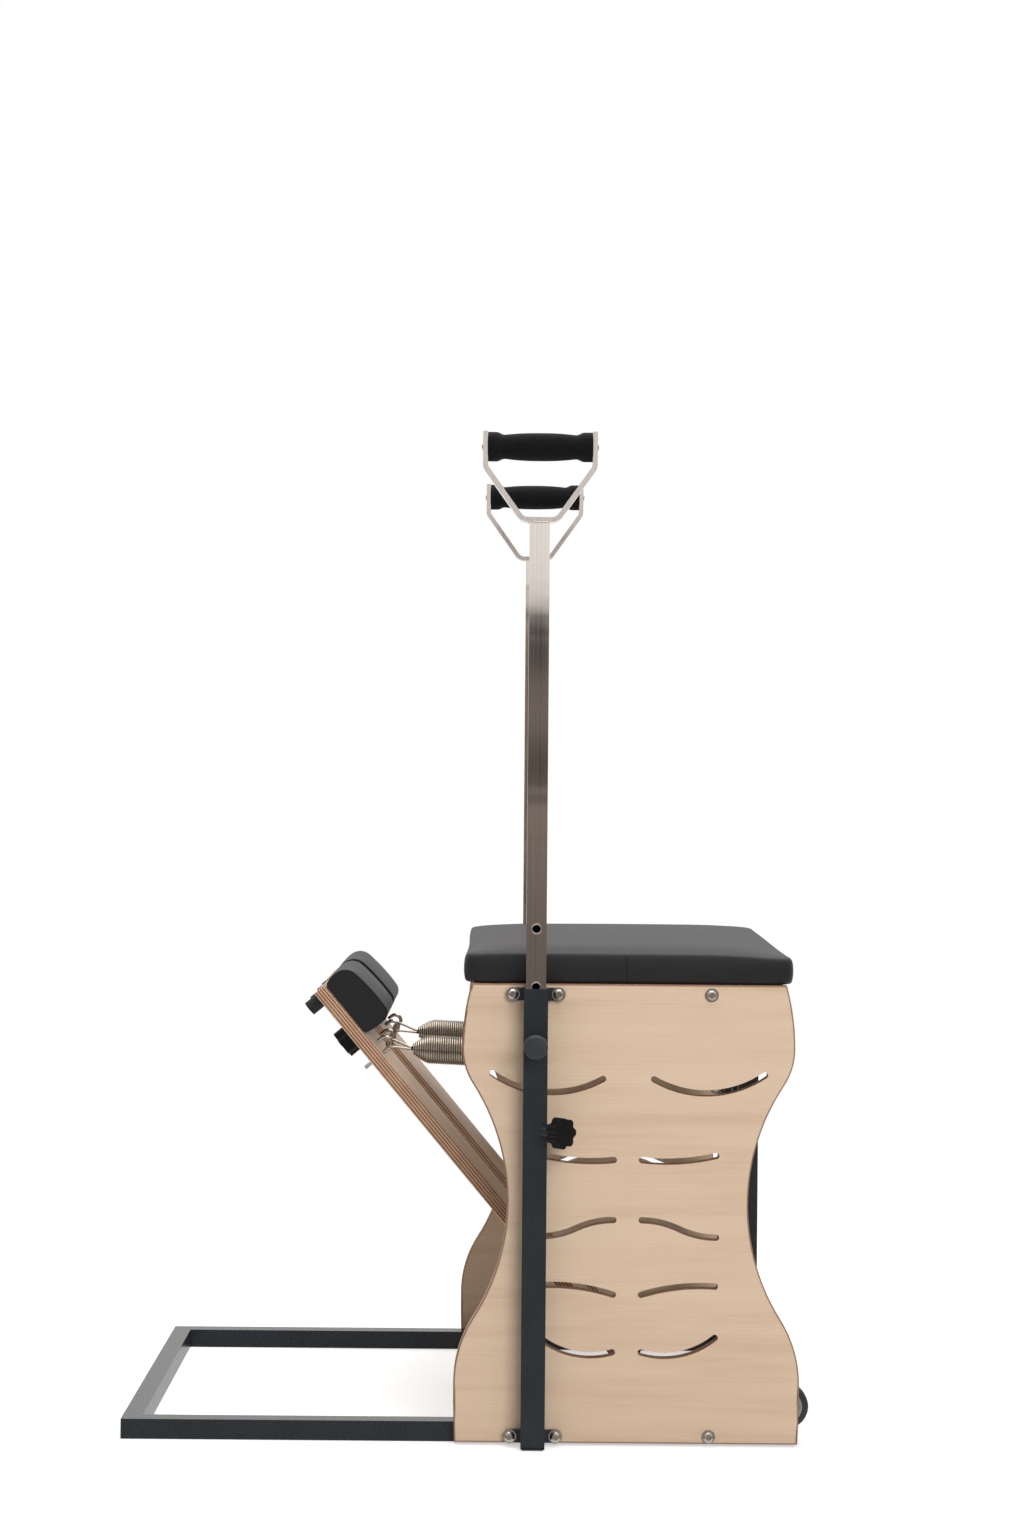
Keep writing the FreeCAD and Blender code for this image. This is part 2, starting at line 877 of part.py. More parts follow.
def lobed_outline(centre):
    """Star knob's edge: lobes and valleys in turn."""
    lobes = int(mm(s.knob_lobes))
    step = 2 * math.pi / lobes
    lobe_half = step * mm(s.knob_lobe_share)
    shoulder = (mm(s.knob_radius) + mm(s.knob_valley)) / 2
    edges = []
    for number in range(lobes):
        middle = number * step
        rise = polar(centre, shoulder, middle - lobe_half)
        fall = polar(centre, shoulder, middle + lobe_half)
        following = polar(centre, shoulder, middle + step - lobe_half)
        edges.append(arc(rise, polar(centre, mm(s.knob_radius), middle), fall))
        edges.append(arc(fall, polar(centre, mm(s.knob_valley), middle + step / 2), following))
    return edges


def star_knob(name, stud_length):
    """Star knob at the end of a stud; the stud's tip is at Y = 0 and the knob is towards -Y."""
    star = plate_body(name + "_star", lobed_outline(Vector()), s.knob_thickness)
    put(star, zero, -(stud_length + s.knob_neck), zero)
    neck = rod((zero, -(stud_length + s.knob_neck), zero), s.knob_neck_radius, s.knob_neck, "y")
    stud = rod((zero, -stud_length, zero), s.pin_radius, stud_length, "y")
    return union([star, neck, stud])


def pad_knob():
    stud = s.board_thickness + s.knob_gap
    knob = star_knob("pad_knob", stud)
    spin = pedal_place.Rotation.multiply(Rotation(Vector(1, 0, 0), 90))
    local = Vector(
        mm(board_front + s.pad_knob_from_end), -mm(pad_middle), mm(s.board_thickness)
    )
    knob.Placement = Placement(pedal_place.multVec(local), spin)
    return knob


both_sides(pad_knob, "pad_knob")


# Springs: a close coil with coned ends, and a wire eye at each end
def biarc(start, start_way, end, end_way):
    """Two arcs that join two points with the given directions."""
    span = end - start
    ways = start_way + end_way
    bend = 2 * (1 - start_way.dot(end_way))
    along = span.dot(ways)
    reach = (math.sqrt(along ** 2 + bend * span.dot(span)) - along) / bend
    joint = (start + end + (start_way - end_way) * reach) / 2
    return [
        tangent_arc(start, start + start_way * reach, joint),
        tangent_arc(joint, end - end_way * reach, end),
    ]


def tangent_arc(start, corner, end):
    """Arc from start to end whose end tangents meet at the corner."""
    middle = (start + end) / 2
    half_turn = (corner - start).getAngle(end - start)
    rise = math.tan(half_turn / 2) / math.tan(half_turn)
    return arc(start, middle + (corner - middle) * rise, end)


eye_tilt = math.asin(mm(s.eye_drop / s.spring_tip_reach))


def eye_path(way, roll):
    """Wire loop round the hook rod at the origin; the spring lies towards way (1 or -1) along X."""
    loop = mm(s.eye_radius)
    neck = mm(s.eye_neck_bend)
    inner = loop - mm(s.spring_wire_radius)
    shift = inner - mm(s.hook_rod_radius) - mm(s.eye_play)
    centre = Vector(shift, 0, 0)
    neck_x = shift + math.sqrt(loop ** 2 + 2 * loop * neck)
    neck_centre = Vector(neck_x, -neck, 0)
    lean = math.atan2(-neck, neck_x - shift)
    stem_end = Vector(neck_x, 0, 0)
    touch = polar(centre, loop, lean)
    neck_middle = polar(neck_centre, neck, math.pi * 0.5 + (lean + math.pi * 0.5) / 2)
    stop = lean - math.radians(mm(s.eye_turn_angle))
    angles = [lean + (stop - lean) * part / 6 for part in range(7)]
    stem_start = Vector(mm(s.spring_tip_reach), 0, 0)
    path = [line(stem_start, stem_end), arc(stem_end, neck_middle, touch)]
    for first in (0, 2, 4):
        path.append(arc(*[polar(centre, loop, angle) for angle in angles[first:first + 3]]))
    turn = Rotation(Vector(0, 0, 1), 0 if way > 0 else 180)
    lean_down = Rotation(Vector(0, 1, 0), math.degrees(eye_tilt))
    twist = Rotation(Vector(1, 0, 0), roll)
    place = Placement(Vector(), turn.multiply(lean_down).multiply(twist))
    for edge in path:
        edge.transform(place.toMatrix())
    return path


spring_length = hook_seat.distanceToPoint(rack_seat)
coil_start = mm(s.spring_tip_reach) * math.cos(eye_tilt)
coil_length = spring_length - 2 * coil_start
coil_radius = mm(s.spring_radius - s.spring_wire_radius)
turns = mm(s.spring_turns)


def coil_point(turn):
    """Place on the coil's wire after a number of turns, from the front cone's tip."""
    cone_turns = mm(s.spring_cone_turns)
    cone = mm(s.spring_cone_length)
    tip = mm(s.spring_tip_radius)
    from_end = min(turn, turns - turn)
    if from_end < cone_turns:
        share = from_end / cone_turns
        radius = tip + (coil_radius - tip) * math.sin(share * math.pi / 2)
        offset = cone * share
    else:
        radius = coil_radius
        offset = cone + (coil_length - 2 * cone) * (from_end - cone_turns) / (turns - 2 * cone_turns)
    along = offset if turn <= turns / 2 else coil_length - offset
    angle = 2 * math.pi * turn
    drop = mm(s.eye_drop)
    return Vector(coil_start + along, radius * math.cos(angle), radius * math.sin(angle) - drop)


def coil_edges():
    """Biarcs of half a turn along the whole coil."""
    step = 0.002
    edges = []
    count = int(turns * 2)
    marks = [number / 2 for number in range(count + 1)]

    def way(turn):
        after = coil_point(min(turn + step, turns))
        before = coil_point(max(turn - step, 0))
        return (after - before).normalize()

    for first, second in zip(marks, marks[1:]):
        edges += biarc(coil_point(first), way(first), coil_point(second), way(second))
    return edges


def least_gap():
    """Least space between neighbouring turns of the wire, measured on points."""
    steps = 48
    points = [coil_point(number / steps) for number in range(int(turns * steps) + 1)]
    spans = []
    for number, point in enumerate(points):
        others = points[number + steps // 2:number + steps + steps // 2]
        spans += [point.distanceToPoint(other) for other in others]
    return min(spans) - 2 * mm(s.spring_wire_radius)


coil_solid = pipe(coil_edges(), mm(s.spring_wire_radius))
print("spring wire's least gap to itself: %.2f mm" % least_gap())


def spring(side, across, roll):
    turn = Rotation(Vector(0, 1, 0), mm(s.spring_fall_angle))
    place = Placement(Vector(hook_seat.x, mm(across), hook_seat.z), turn)
    rear_eye = pipe(eye_path(-1, roll), mm(s.spring_wire_radius))
    rear_eye.translate(Vector(spring_length, 0, 0))
    coil = feature(Part.makeCompound([coil_solid, rear_eye]), side + "_spring")
    coil.Placement = place
    eye = feature(pipe(eye_path(1, roll), mm(s.spring_wire_radius)), side + "_spring_eye")
    eye.Placement = place


spring("left", -s.hook_outer, 0)
spring("right", s.hook_inner, mm(s.eye_roll_angle))

# Seat: a board under a crowned cushion
seat_half_width = panel_outer - s.seat_side_inset
seat_board_low = (
    panel_x - s.seat_depth / 2 + s.seat_board_margin,
    -seat_half_width + s.seat_board_margin,
    s.panel_top,
)
seat_board_high = (
    panel_x + s.seat_depth / 2 - s.seat_board_margin,
    seat_half_width - s.seat_board_margin,
    s.panel_top + s.seat_board_thickness,
)
node(box(seat_board_low, seat_board_high), "seat_board")


def seat_section(level, inset):
    """Plan of the cushion at one level, its sides drawn in between the corners."""
    half_x = mm(s.seat_depth) / 2 - inset
    half_y = mm(seat_half_width) - inset
    corner = mm(s.seat_corner)
    draw = mm(s.seat_draw_in)
    near = corner * CORNER
    z = mm(s.panel_top) + level
    edges = []
    for quarter in range(4):
        across, along = (half_x, half_y) if quarter % 2 == 0 else (half_y, half_x)
        turn = Rotation(Vector(0, 0, 1), 90 * quarter)
        points = [
            Vector(across, -along + corner, z),
            Vector(across - draw, 0, z),
            Vector(across, along - corner, z),
            Vector(across - near, along - near, z),
            Vector(across - corner, along, z),
        ]
        side = [turn.multVec(point) for point in points]
        edges.append(arc(*side[:3]).toShape())
        edges.append(arc(*side[2:]).toShape())
    wire = Part.Wire(edges)
    wire.translate(Vector(mm(panel_x), 0, 0))
    return wire


# Shares of the cushion's height, each with how far its plan stands in from the fullest line
SEAT_SIDE = [(0, 5), (0.2, 1.5), (0.45, 0), (0.68, 1.5), (0.85, 7), (0.93, 16)]
SEAT_CROWN = [(0.93, 16), (0.975, 60), (0.995, 104), (1, 148)]


def seat_loft(levels):
    item = doc.addObject("Part::Feature", "cushion_form")
    sections = [seat_section(share * mm(s.seat_height), inset) for share, inset in levels]
    item.Shape = Part.makeLoft(sections, True, False)
    return item


cushion = union([seat_loft(SEAT_SIDE), seat_loft(SEAT_CROWN)])
node(cut(cushion, [box(seat_board_low, seat_board_high)]), "seat_cushion")


# Uprights: square tube with bolt lugs, a plunger hole and a clamp hole
clamp_way = Vector(1, -1, 0).normalize()
clamp_angle = Rotation(Vector(0, 0, 1), 45)


def clamp_rod(start, radius, length):
    """Round bar on the clamp's slanted axis, start measured from the upright's middle."""
    item = doc.addObject("Part::Cylinder", "round")
    bind(item, "Radius", radius)
    bind(item, "Height", length)
    foot = Vector(mm(upright_x), -mm(upright_y), mm(s.clamp_height)) + clamp_way * mm(start)
    item.Placement = Placement(foot, clamp_angle.multiply(Rotation(Vector(1, 0, 0), 90)))
    return item


def upright_block(margin):
    half = s.upright_side / 2 - margin
    low = (upright_x - half, -upright_y - half, s.plug_height)
    high = (upright_x + half, -upright_y + half, s.upright_top)
    return box(low, high)


def upright():
    parts = [upright_block(zero)]
    holes = [upright_block(s.upright_wall)]
    for level in bolt_levels:
        low = (lug_bolts[0], -panel_outer - s.lug_thickness, level - s.lug_radius)
        high = (lug_bolts[1], -panel_outer, level + s.lug_radius)
        parts.append(box(low, high))
        for x in lug_bolts:
            start = (x, -panel_outer - s.lug_thickness, level)
            parts.append(rod(start, s.lug_radius, s.lug_thickness, "y"))
            holes.append(rod(start, s.bolt_hole_radius, s.lug_thickness, "y"))
    plunger_start = (upright_x, -panel_outer - s.upright_side, s.index_height)
    holes.append(
        rod(plunger_start, s.pin_radius + s.running_clearance, s.upright_wall, "y")
    )
    holes.append(
        clamp_rod(s.upright_side / 2, s.pin_radius + s.running_clearance, s.upright_side / 2)
    )
    return cut(union(parts), [union(holes)])


both_sides(upright, "upright")


def foot_plug():
    half = s.upright_side / 2
    inside = half - s.upright_wall
    foot = box(
        (upright_x - half, -upright_y - half, zero),
        (upright_x + half, -upright_y + half, s.plug_height),
    )
    low_edges = rounded_foot(foot)
    insert = box(
        (upright_x - inside, -upright_y - inside, s.plug_height),
        (upright_x + inside, -upright_y + inside, s.plug_height + s.plug_insert),
    )
    return union([low_edges, insert])


def rounded_foot(foot):
    """Bevel the plug's lower edges."""
    doc.recompute()
    item = doc.addObject("Part::Chamfer", "bevelled")
    item.Base = foot
    picked = [n for n, edge in enumerate(foot.Shape.Edges, 1) if edge.BoundBox.ZMax < 0.01]
    item.Edges = [(number, mm(s.plug_bevel), mm(s.plug_bevel)) for number in picked]
    return item


pair(foot_plug, "foot_plugs")


# Bolts and washers that hold panels, lugs and rails together
# Rise of a button head's curve over its chord
BUTTON_BULGE = 0.13


def bolt_profile(stack):
    """Button head bolt along X: head towards -X, the seat of the head at X = 0."""
    head = mm(s.bolt_head_radius)
    high = -mm(s.bolt_head_height)
    shank = mm(s.bolt_radius)
    end = mm(stack)
    rim = flat(-s.bolt_rim, head)
    dome = flat(high, s.bolt_crown_radius)
    chord = rim - dome
    bulge = (rim + dome) / 2 + Vector(-chord.y, chord.x, 0) * BUTTON_BULGE
    return [
        line(flat(high, 0), dome),
        arc(dome, bulge, rim),
        line(rim, flat(0, head)),
        line(flat(0, head), flat(0, shank)),
        line(flat(0, shank), flat(end, shank)),
        line(flat(end, shank), flat(end, 0)),
        line(flat(end, 0), flat(high, 0)),
    ]


def washer_profile():
    inner, outer, thick = s.bolt_hole_radius, s.washer_radius, -s.washer_height
    return outline([flat(thick, inner), flat(thick, outer), flat(0, outer), flat(0, inner)])


through = s.panel_thickness + s.bolt_grip
lug_bolt = turned_body("lug_bolt", bolt_profile(s.washer_height + s.lug_thickness + through))
rear_bolt = turned_body("rear_bolt", bolt_profile(s.washer_height + through))
washer = turned_body("washer", washer_profile())


def socketed(body):
    """The bolt's solid with a hexagon socket in its head."""
    corners = [polar(Vector(), mm(s.socket_radius), math.pi * number / 3) for number in range(7)]
    ring = [Vector(-mm(s.bolt_head_height), corner.x, corner.y) for corner in corners]
    return body.Shape.cut(Part.Face(Part.makePolygon(ring)).extrude(Vector(mm(s.socket_depth), 0, 0)))


lug_bolt_solid = socketed(lug_bolt)
rear_bolt_solid = socketed(rear_bolt)
inward = {-1: Rotation(Vector(0, 0, 1), 90), 1: Rotation(Vector(0, 0, 1), -90)}
bolt_solids = []
washer_solids = []
for side in (-1, 1):
    for level in bolt_levels:
        for x in (*lug_bolts, rear_bolt_x):
            lift = zero if x is rear_bolt_x else s.lug_thickness
            master = rear_bolt_solid if x is rear_bolt_x else lug_bolt_solid
            seat = Vector(mm(x), side * mm(panel_outer + lift), mm(level))
            head_seat = seat + Vector(0, side * mm(s.washer_height), 0)
            bolt_place = Placement(head_seat, inward[side])
            washer_place = Placement(seat, inward[side])
            bolt_solids.append(master.transformed(bolt_place.toMatrix()))
            washer_solids.append(washer.Shape.transformed(washer_place.toMatrix()))
feature(Part.makeCompound(bolt_solids), "panel_bolts")
feature(Part.makeCompound(washer_solids), "panel_washers")


# Handles: chrome post, flat bar bracket, foam grip on a rod
def handle_post():
    half = s.post_side / 2
    low = (upright_x - half, -upright_y - half, s.post_bottom)
    high = (upright_x + half, -upright_y + half, post_top)
    tube = hollow(low, high, s.post_wall, (True, True))
    holes = []
    below = int(mm(s.index_holes_below))
    above = int(mm(s.index_holes_above))
    for number in range(-below, above + 1):
        level = s.index_height + number * s.index_pitch
        start = (upright_x, -upright_y - half, level)
        holes.append(rod(start, s.index_hole_radius, s.post_wall, "y"))
    return cut(tube, holes)


both_sides(handle_post, "handle_post")


def rounded_path(points, radius):
    """Lines through the points with tangent arcs at the corners between."""
    edges = []
    start = points[0]
    for before, corner, after in zip(points, points[1:], points[2:]):
        back = (before - corner).normalize()
        ahead = (after - corner).normalize()
        half = back.getAngle(ahead) / 2
        reach = radius / math.tan(half)
        enter = corner + back * reach
        leave = corner + ahead * reach
        middle = corner + (back + ahead).normalize() * (radius / math.sin(half) - radius)
        edges += [line(start, enter), arc(enter, middle, leave)]
        start = leave
    edges.append(line(start, points[-1]))
    return edges


def bar_outline(points, thickness, bend):
    """Outline of a flat bar bent along a symmetric path, seen on edge."""
    inner = [flat(x, z) for x, z in points]
    outer = []
    for number, point in enumerate(inner):
        ways = []
        if number > 0:
            ways.append((point - inner[number - 1]).normalize())
        if number < len(inner) - 1:
            ways.append((inner[number + 1] - point).normalize())
        normals = [Vector(-way.y, way.x, 0) for way in ways]
        lean = normals[0] + normals[-1]
        outer.append(point - lean * (2 * thickness / lean.dot(lean)))
    edges = rounded_path(inner, bend)
    edges.append(line(inner[-1], outer[-1]))
    edges += rounded_path(outer[::-1], bend + thickness)
    edges.append(line(outer[0], inner[0]))
    return edges


def handle_bracket():
    half = mm(s.bracket_width) / 2 - mm(s.bracket_bar)
    foot = mm(s.post_side) / 2
    base = mm(post_top + s.bracket_bar)
    top = mm(s.grip_height + s.bracket_above_grip)
    knee = mm(s.grip_height - s.bracket_knee_drop)
    points = [(-half, top), (-half, knee), (-foot, base), (foot, base), (half, knee), (half, top)]
    body = plate_body("bracket", bar_outline(points, mm(s.bracket_bar), mm(s.bracket_bend)), s.post_side)
    put(body, upright_x, -upright_y + s.post_side / 2, zero)
    start = (upright_x - s.bracket_width / 2, -upright_y, s.grip_height)
    hole = rod(start, s.grip_rod_radius + s.running_clearance, s.bracket_width, "x")
    return cut(body, [hole])


both_sides(handle_bracket, "handle_bracket")

grip_half = s.bracket_width / 2 - s.bracket_bar - s.grip_gap


def grip_profile():
    half = mm(grip_half)
    bore = mm(s.grip_rod_radius + s.running_clearance)
    collar = half - mm(s.grip_collar)
    end_r = mm(s.grip_end_radius)
    neck_r = mm(s.grip_neck_radius)
    lip = mm(s.grip_lip)
    round_end = flat(half - lip * CORNER, end_r - lip * CORNER)
    right = [
        line(flat(half, bore), flat(half, end_r - lip)),
        arc(flat(half, end_r - lip), round_end, flat(half - lip, end_r)),
        line(flat(half - lip, end_r), flat(collar, end_r)),
        line(flat(collar, end_r), flat(collar, neck_r)),
    ]
    left = [flipped_edge(edge) for edge in reversed(right)]
    barrel = arc(flat(collar, neck_r), flat(0, s.grip_belly_radius), flat(-collar, neck_r))
    return right + [barrel] + left + [line(flat(-half, bore), flat(half, bore))]


def grip():
    body = turned_body("grip", grip_profile())
    return put(body, upright_x, -upright_y, s.grip_height)


both_sides(grip, "grip")


def grip_rod():
    reach = mm(s.bracket_width / 2)
    head = mm(s.grip_rod_head)
    high = mm(s.grip_rod_head_height)
    shank = mm(s.grip_rod_radius)
    corner = mm(s.grip_rod_bevel)
    points = [
        flat(reach, shank),
        flat(reach, head),
        flat(reach + high - corner, head),
        flat(reach + high, head - corner),
        flat(reach + high, 0),
    ]
    edges = outline(points + [flipped(point) for point in reversed(points)])
    body = turned_body("grip_rod", edges)
    return put(body, upright_x, -upright_y, s.grip_height)


both_sides(grip_rod, "grip_rod")

# Index plungers: a threaded body on the upright and a pull knob with its pin
plunger_turn = Rotation(Vector(0, 0, 1), -90)
upright_face = upright_y + s.upright_side / 2


def plunger_body():
    bore = s.pin_radius + s.running_clearance
    long = s.plunger_body_length
    body = turned_body("plunger_body", outline([
        flat(0, bore),
        flat(0, s.plunger_flange_radius),
        flat(s.plunger_flange, s.plunger_flange_radius),
        flat(s.plunger_flange, s.plunger_body_radius),
        flat(long, s.plunger_body_radius),
        flat(long, bore),
    ]))
    return put(body, upright_x, -upright_face, s.index_height, plunger_turn)


pair(plunger_body, "plunger_bodies")


def plunger_knob():
    pin = mm(s.pin_radius)
    tip = mm((s.post_side - s.upright_side) / 2 + s.pin_tip_gap)
    start = mm(s.plunger_body_length + s.plunger_knob_gap)
    end = start + mm(s.plunger_knob_length)
    full = mm(s.plunger_knob_radius)
    neck = mm(s.plunger_flange_radius)
    waist = start + mm(s.plunger_knob_flare)
    rim = end - mm(s.plunger_knob_round)
    face = full - mm(s.plunger_knob_round)
    bend = mm(s.plunger_knob_round) * CORNER
    edges = [
        line(flat(tip, 0), flat(tip, pin)),
        line(flat(tip, pin), flat(start, pin)),
        line(flat(start, pin), flat(start, neck)),
        line(flat(start, neck), flat(waist, full)),
        line(flat(waist, full), flat(rim, full)),
        arc(flat(rim, full), flat(end - bend, full - bend), flat(end, face)),
        line(flat(end, face), flat(end, 0)),
        line(flat(end, 0), flat(tip, 0)),
    ]
    body = turned_body("plunger_knob", edges)
    return put(body, upright_x, -upright_face, s.index_height, plunger_turn)


both_sides(plunger_knob, "plunger_knob")

# Clamp knobs: a boss on the upright's rear outer corner and a star knob with its stud
boss_start = s.upright_side / 2


def clamp_boss():
    body = clamp_rod(boss_start, s.clamp_boss_radius, s.clamp_boss_reach - boss_start)
    bore = clamp_rod(
        boss_start, s.pin_radius + s.running_clearance, s.clamp_boss_reach - boss_start
    )
    return cut(body, [upright_block(zero), bore])


pair(clamp_boss, "clamp_bosses")

post_corner = mm(s.post_side) / math.sqrt(2)


def clamp_knob():
    stud_start = as_size(post_corner) + s.clamp_tip_gap
    knob = star_knob("clamp_knob", s.clamp_boss_reach + s.knob_gap - stud_start)
    foot = Vector(mm(upright_x), -mm(upright_y), mm(s.clamp_height)) + clamp_way * mm(stud_start)
    knob.Placement = Placement(foot, clamp_angle)
    return knob


both_sides(clamp_knob, "clamp_knob")

# Transport wheels behind the rear tube
wheel_x = panel_x + s.wheel_offset
wheel_middle = panel_inner - s.wheel_gap - s.wheel_width / 2
wheel_turn = Rotation(Vector(0, 0, 1), 90)


def wheel_piece(name, edges):
    return put(turned_body(name, edges), wheel_x, -wheel_middle, s.wheel_height, wheel_turn)


def tyre():
    half = mm(s.wheel_width) / 2
    full = mm(s.wheel_radius)
    bend = mm(s.tyre_shoulder)
    seat = mm(s.hub_radius)
    shoulder = flat(half - bend * CORNER, full - bend * CORNER)
    right = [
        line(flat(half, seat), flat(half, full - bend)),
        arc(flat(half, full - bend), shoulder, flat(half - bend, full)),
        line(flat(half - bend, full), flat(0, full)),
    ]
    left = [flipped_edge(edge) for edge in reversed(right)]
    return wheel_piece("tyre", right + left + [line(flat(-half, seat), flat(half, seat))])


both_sides(tyre, "tyre")


def hub():
    half = s.wheel_width / 2
    web = s.hub_web / 2
    bore = s.pin_radius + s.running_clearance
    boss = s.plunger_body_radius
    rim = s.hub_radius - s.hub_rim
    half_points = [
        flat(half, bore),
        flat(half, boss),
        flat(web, boss + s.hub_draft),
        flat(web, rim - s.hub_draft),
        flat(half, rim),
        flat(half, s.hub_radius),
    ]
    edges = outline(half_points + [flipped(point) for point in reversed(half_points)])
    return wheel_piece("hub", edges)


both_sides(hub, "hub")

ear_outer = wheel_middle - s.wheel_width / 2 - s.wheel_gap


def wheel_bracket():
    low = (rear_tube_x, -ear_outer, s.tube_side)
    high = (wheel_x, -ear_outer + s.wheel_bracket_thickness, s.wheel_height + s.wheel_bracket_radius)
    start = (wheel_x, -ear_outer, s.wheel_height)
    nose = rod(start, s.wheel_bracket_radius, s.wheel_bracket_thickness, "y")
    hole = rod(start, s.pin_radius + s.running_clearance, s.wheel_bracket_thickness, "y")
    return cut(union([box(low, high), nose]), [hole])


pair(wheel_bracket, "wheel_brackets")


def wheel_bolt():
    shank = s.pin_radius
    head = s.bolt_head_radius
    inner = ear_outer - s.wheel_bracket_thickness
    outer = wheel_middle + s.wheel_width / 2 + s.wheel_gap / 4
    cap = s.wheel_gap / 2
    points = [
        flat(inner - s.bolt_head_height, 0),
        flat(inner - s.bolt_head_height, head),
        flat(inner, head),
        flat(inner, shank),
        flat(outer, shank),
        flat(outer, head),
        flat(outer + cap, head),
        flat(outer + cap, 0),
    ]
    body = turned_body("wheel_bolt", outline(points))
    return put(body, wheel_x, zero, s.wheel_height, Rotation(Vector(0, 0, 1), -90))


pair(wheel_bolt, "wheel_bolts")

# Rebuild, test every object and write one file for each sub-part
doc.recompute()
for item in doc.Objects:
    if "Invalid" in item.State or "Error" in item.State:
        raise RuntimeError("%s did not build: %s" % (item.Label, item.State))
for item in nodes:
    if item.Shape.isNull() or not item.Shape.isValid():
        raise RuntimeError("%s has no valid shape" % item.Label)

print("front eye on its hook: %s" % hook_seat)
print("rear eye on its hook: %s" % rack_seat)
os.makedirs("parts", exist_ok=True)
for item in nodes:
    item.Shape.exportStep("parts/%s.step" % item.Label)
print("%d sub-parts written" % len(nodes))
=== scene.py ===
import bmesh
import bpy
import json
import math
from mathutils import Matrix, Vector
from mathutils.bvhtree import BVHTree


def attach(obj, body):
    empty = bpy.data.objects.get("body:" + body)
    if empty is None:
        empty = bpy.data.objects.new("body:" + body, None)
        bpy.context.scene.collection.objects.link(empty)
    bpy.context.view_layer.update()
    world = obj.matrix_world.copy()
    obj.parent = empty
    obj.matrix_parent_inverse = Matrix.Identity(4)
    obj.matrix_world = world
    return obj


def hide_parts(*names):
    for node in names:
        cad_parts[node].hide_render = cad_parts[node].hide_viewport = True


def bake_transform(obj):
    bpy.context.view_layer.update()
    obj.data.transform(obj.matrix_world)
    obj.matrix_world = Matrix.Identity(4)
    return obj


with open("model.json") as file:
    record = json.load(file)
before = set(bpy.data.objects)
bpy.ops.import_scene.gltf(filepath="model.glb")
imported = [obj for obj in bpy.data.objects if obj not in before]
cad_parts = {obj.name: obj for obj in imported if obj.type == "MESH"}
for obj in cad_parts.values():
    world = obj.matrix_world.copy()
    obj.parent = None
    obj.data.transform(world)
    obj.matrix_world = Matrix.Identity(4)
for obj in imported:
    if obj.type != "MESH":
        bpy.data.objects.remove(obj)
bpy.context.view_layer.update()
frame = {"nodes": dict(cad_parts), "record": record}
SIDES = {"left": -1, "right": 1}

# Places shared with the solids, in metres
PANEL_X = 0.2015
PANEL_INNER = 0.292
PIVOT = Vector((0.2249, 0, 0.0446))
PEDAL_RISE = math.radians(50)
PEDAL = Matrix.Translation(PIVOT) @ Matrix.Rotation(PEDAL_RISE, 4, "Y")
BOARD_FRONT = -0.6611
BOARD_THICK = 0.018
SEAT_LOW = 0.576
FRONT_SEAT = Vector((-0.10086342, 0, 0.48555131))
REAR_SEAT = Vector((0.3335, 0, 0.46582698))
SPRING_Y = {"left": -0.165, "right": 0.068}
UPRIGHT_X = 0.0848
UPRIGHT_Y = 0.325
POST_HALF = 0.0125
POST_BORE = 0.0112
GRIP_Z = 1.244
WHEEL = (0.4035, 0.0, 0.046)

X_AXIS = (1.0, 0.0, 0.0)
Y_AXIS = (0.0, 1.0, 0.0)
Z_AXIS = (0.0, 0.0, 1.0)
BOARD_NORMAL = (math.sin(PEDAL_RISE), 0.0, math.cos(PEDAL_RISE))
BOARD_ALONG = (-math.cos(PEDAL_RISE), 0.0, math.sin(PEDAL_RISE))
BOARD_LOW = PEDAL.translation.dot(Vector(BOARD_NORMAL))

BLACK = (0.0, 0.0, 0.0, 1.0)
WHITE = (1.0, 1.0, 1.0, 1.0)


# Small helpers for node trees
def tint(red, green, blue):
    """Linear colour from 0 to 255 screen values."""
    channels = []
    for value in (red, green, blue):
        share = value / 255
        channels.append(share / 12.92 if share <= 0.04045 else ((share + 0.055) / 1.055) ** 2.4)
    return (*channels, 1.0)


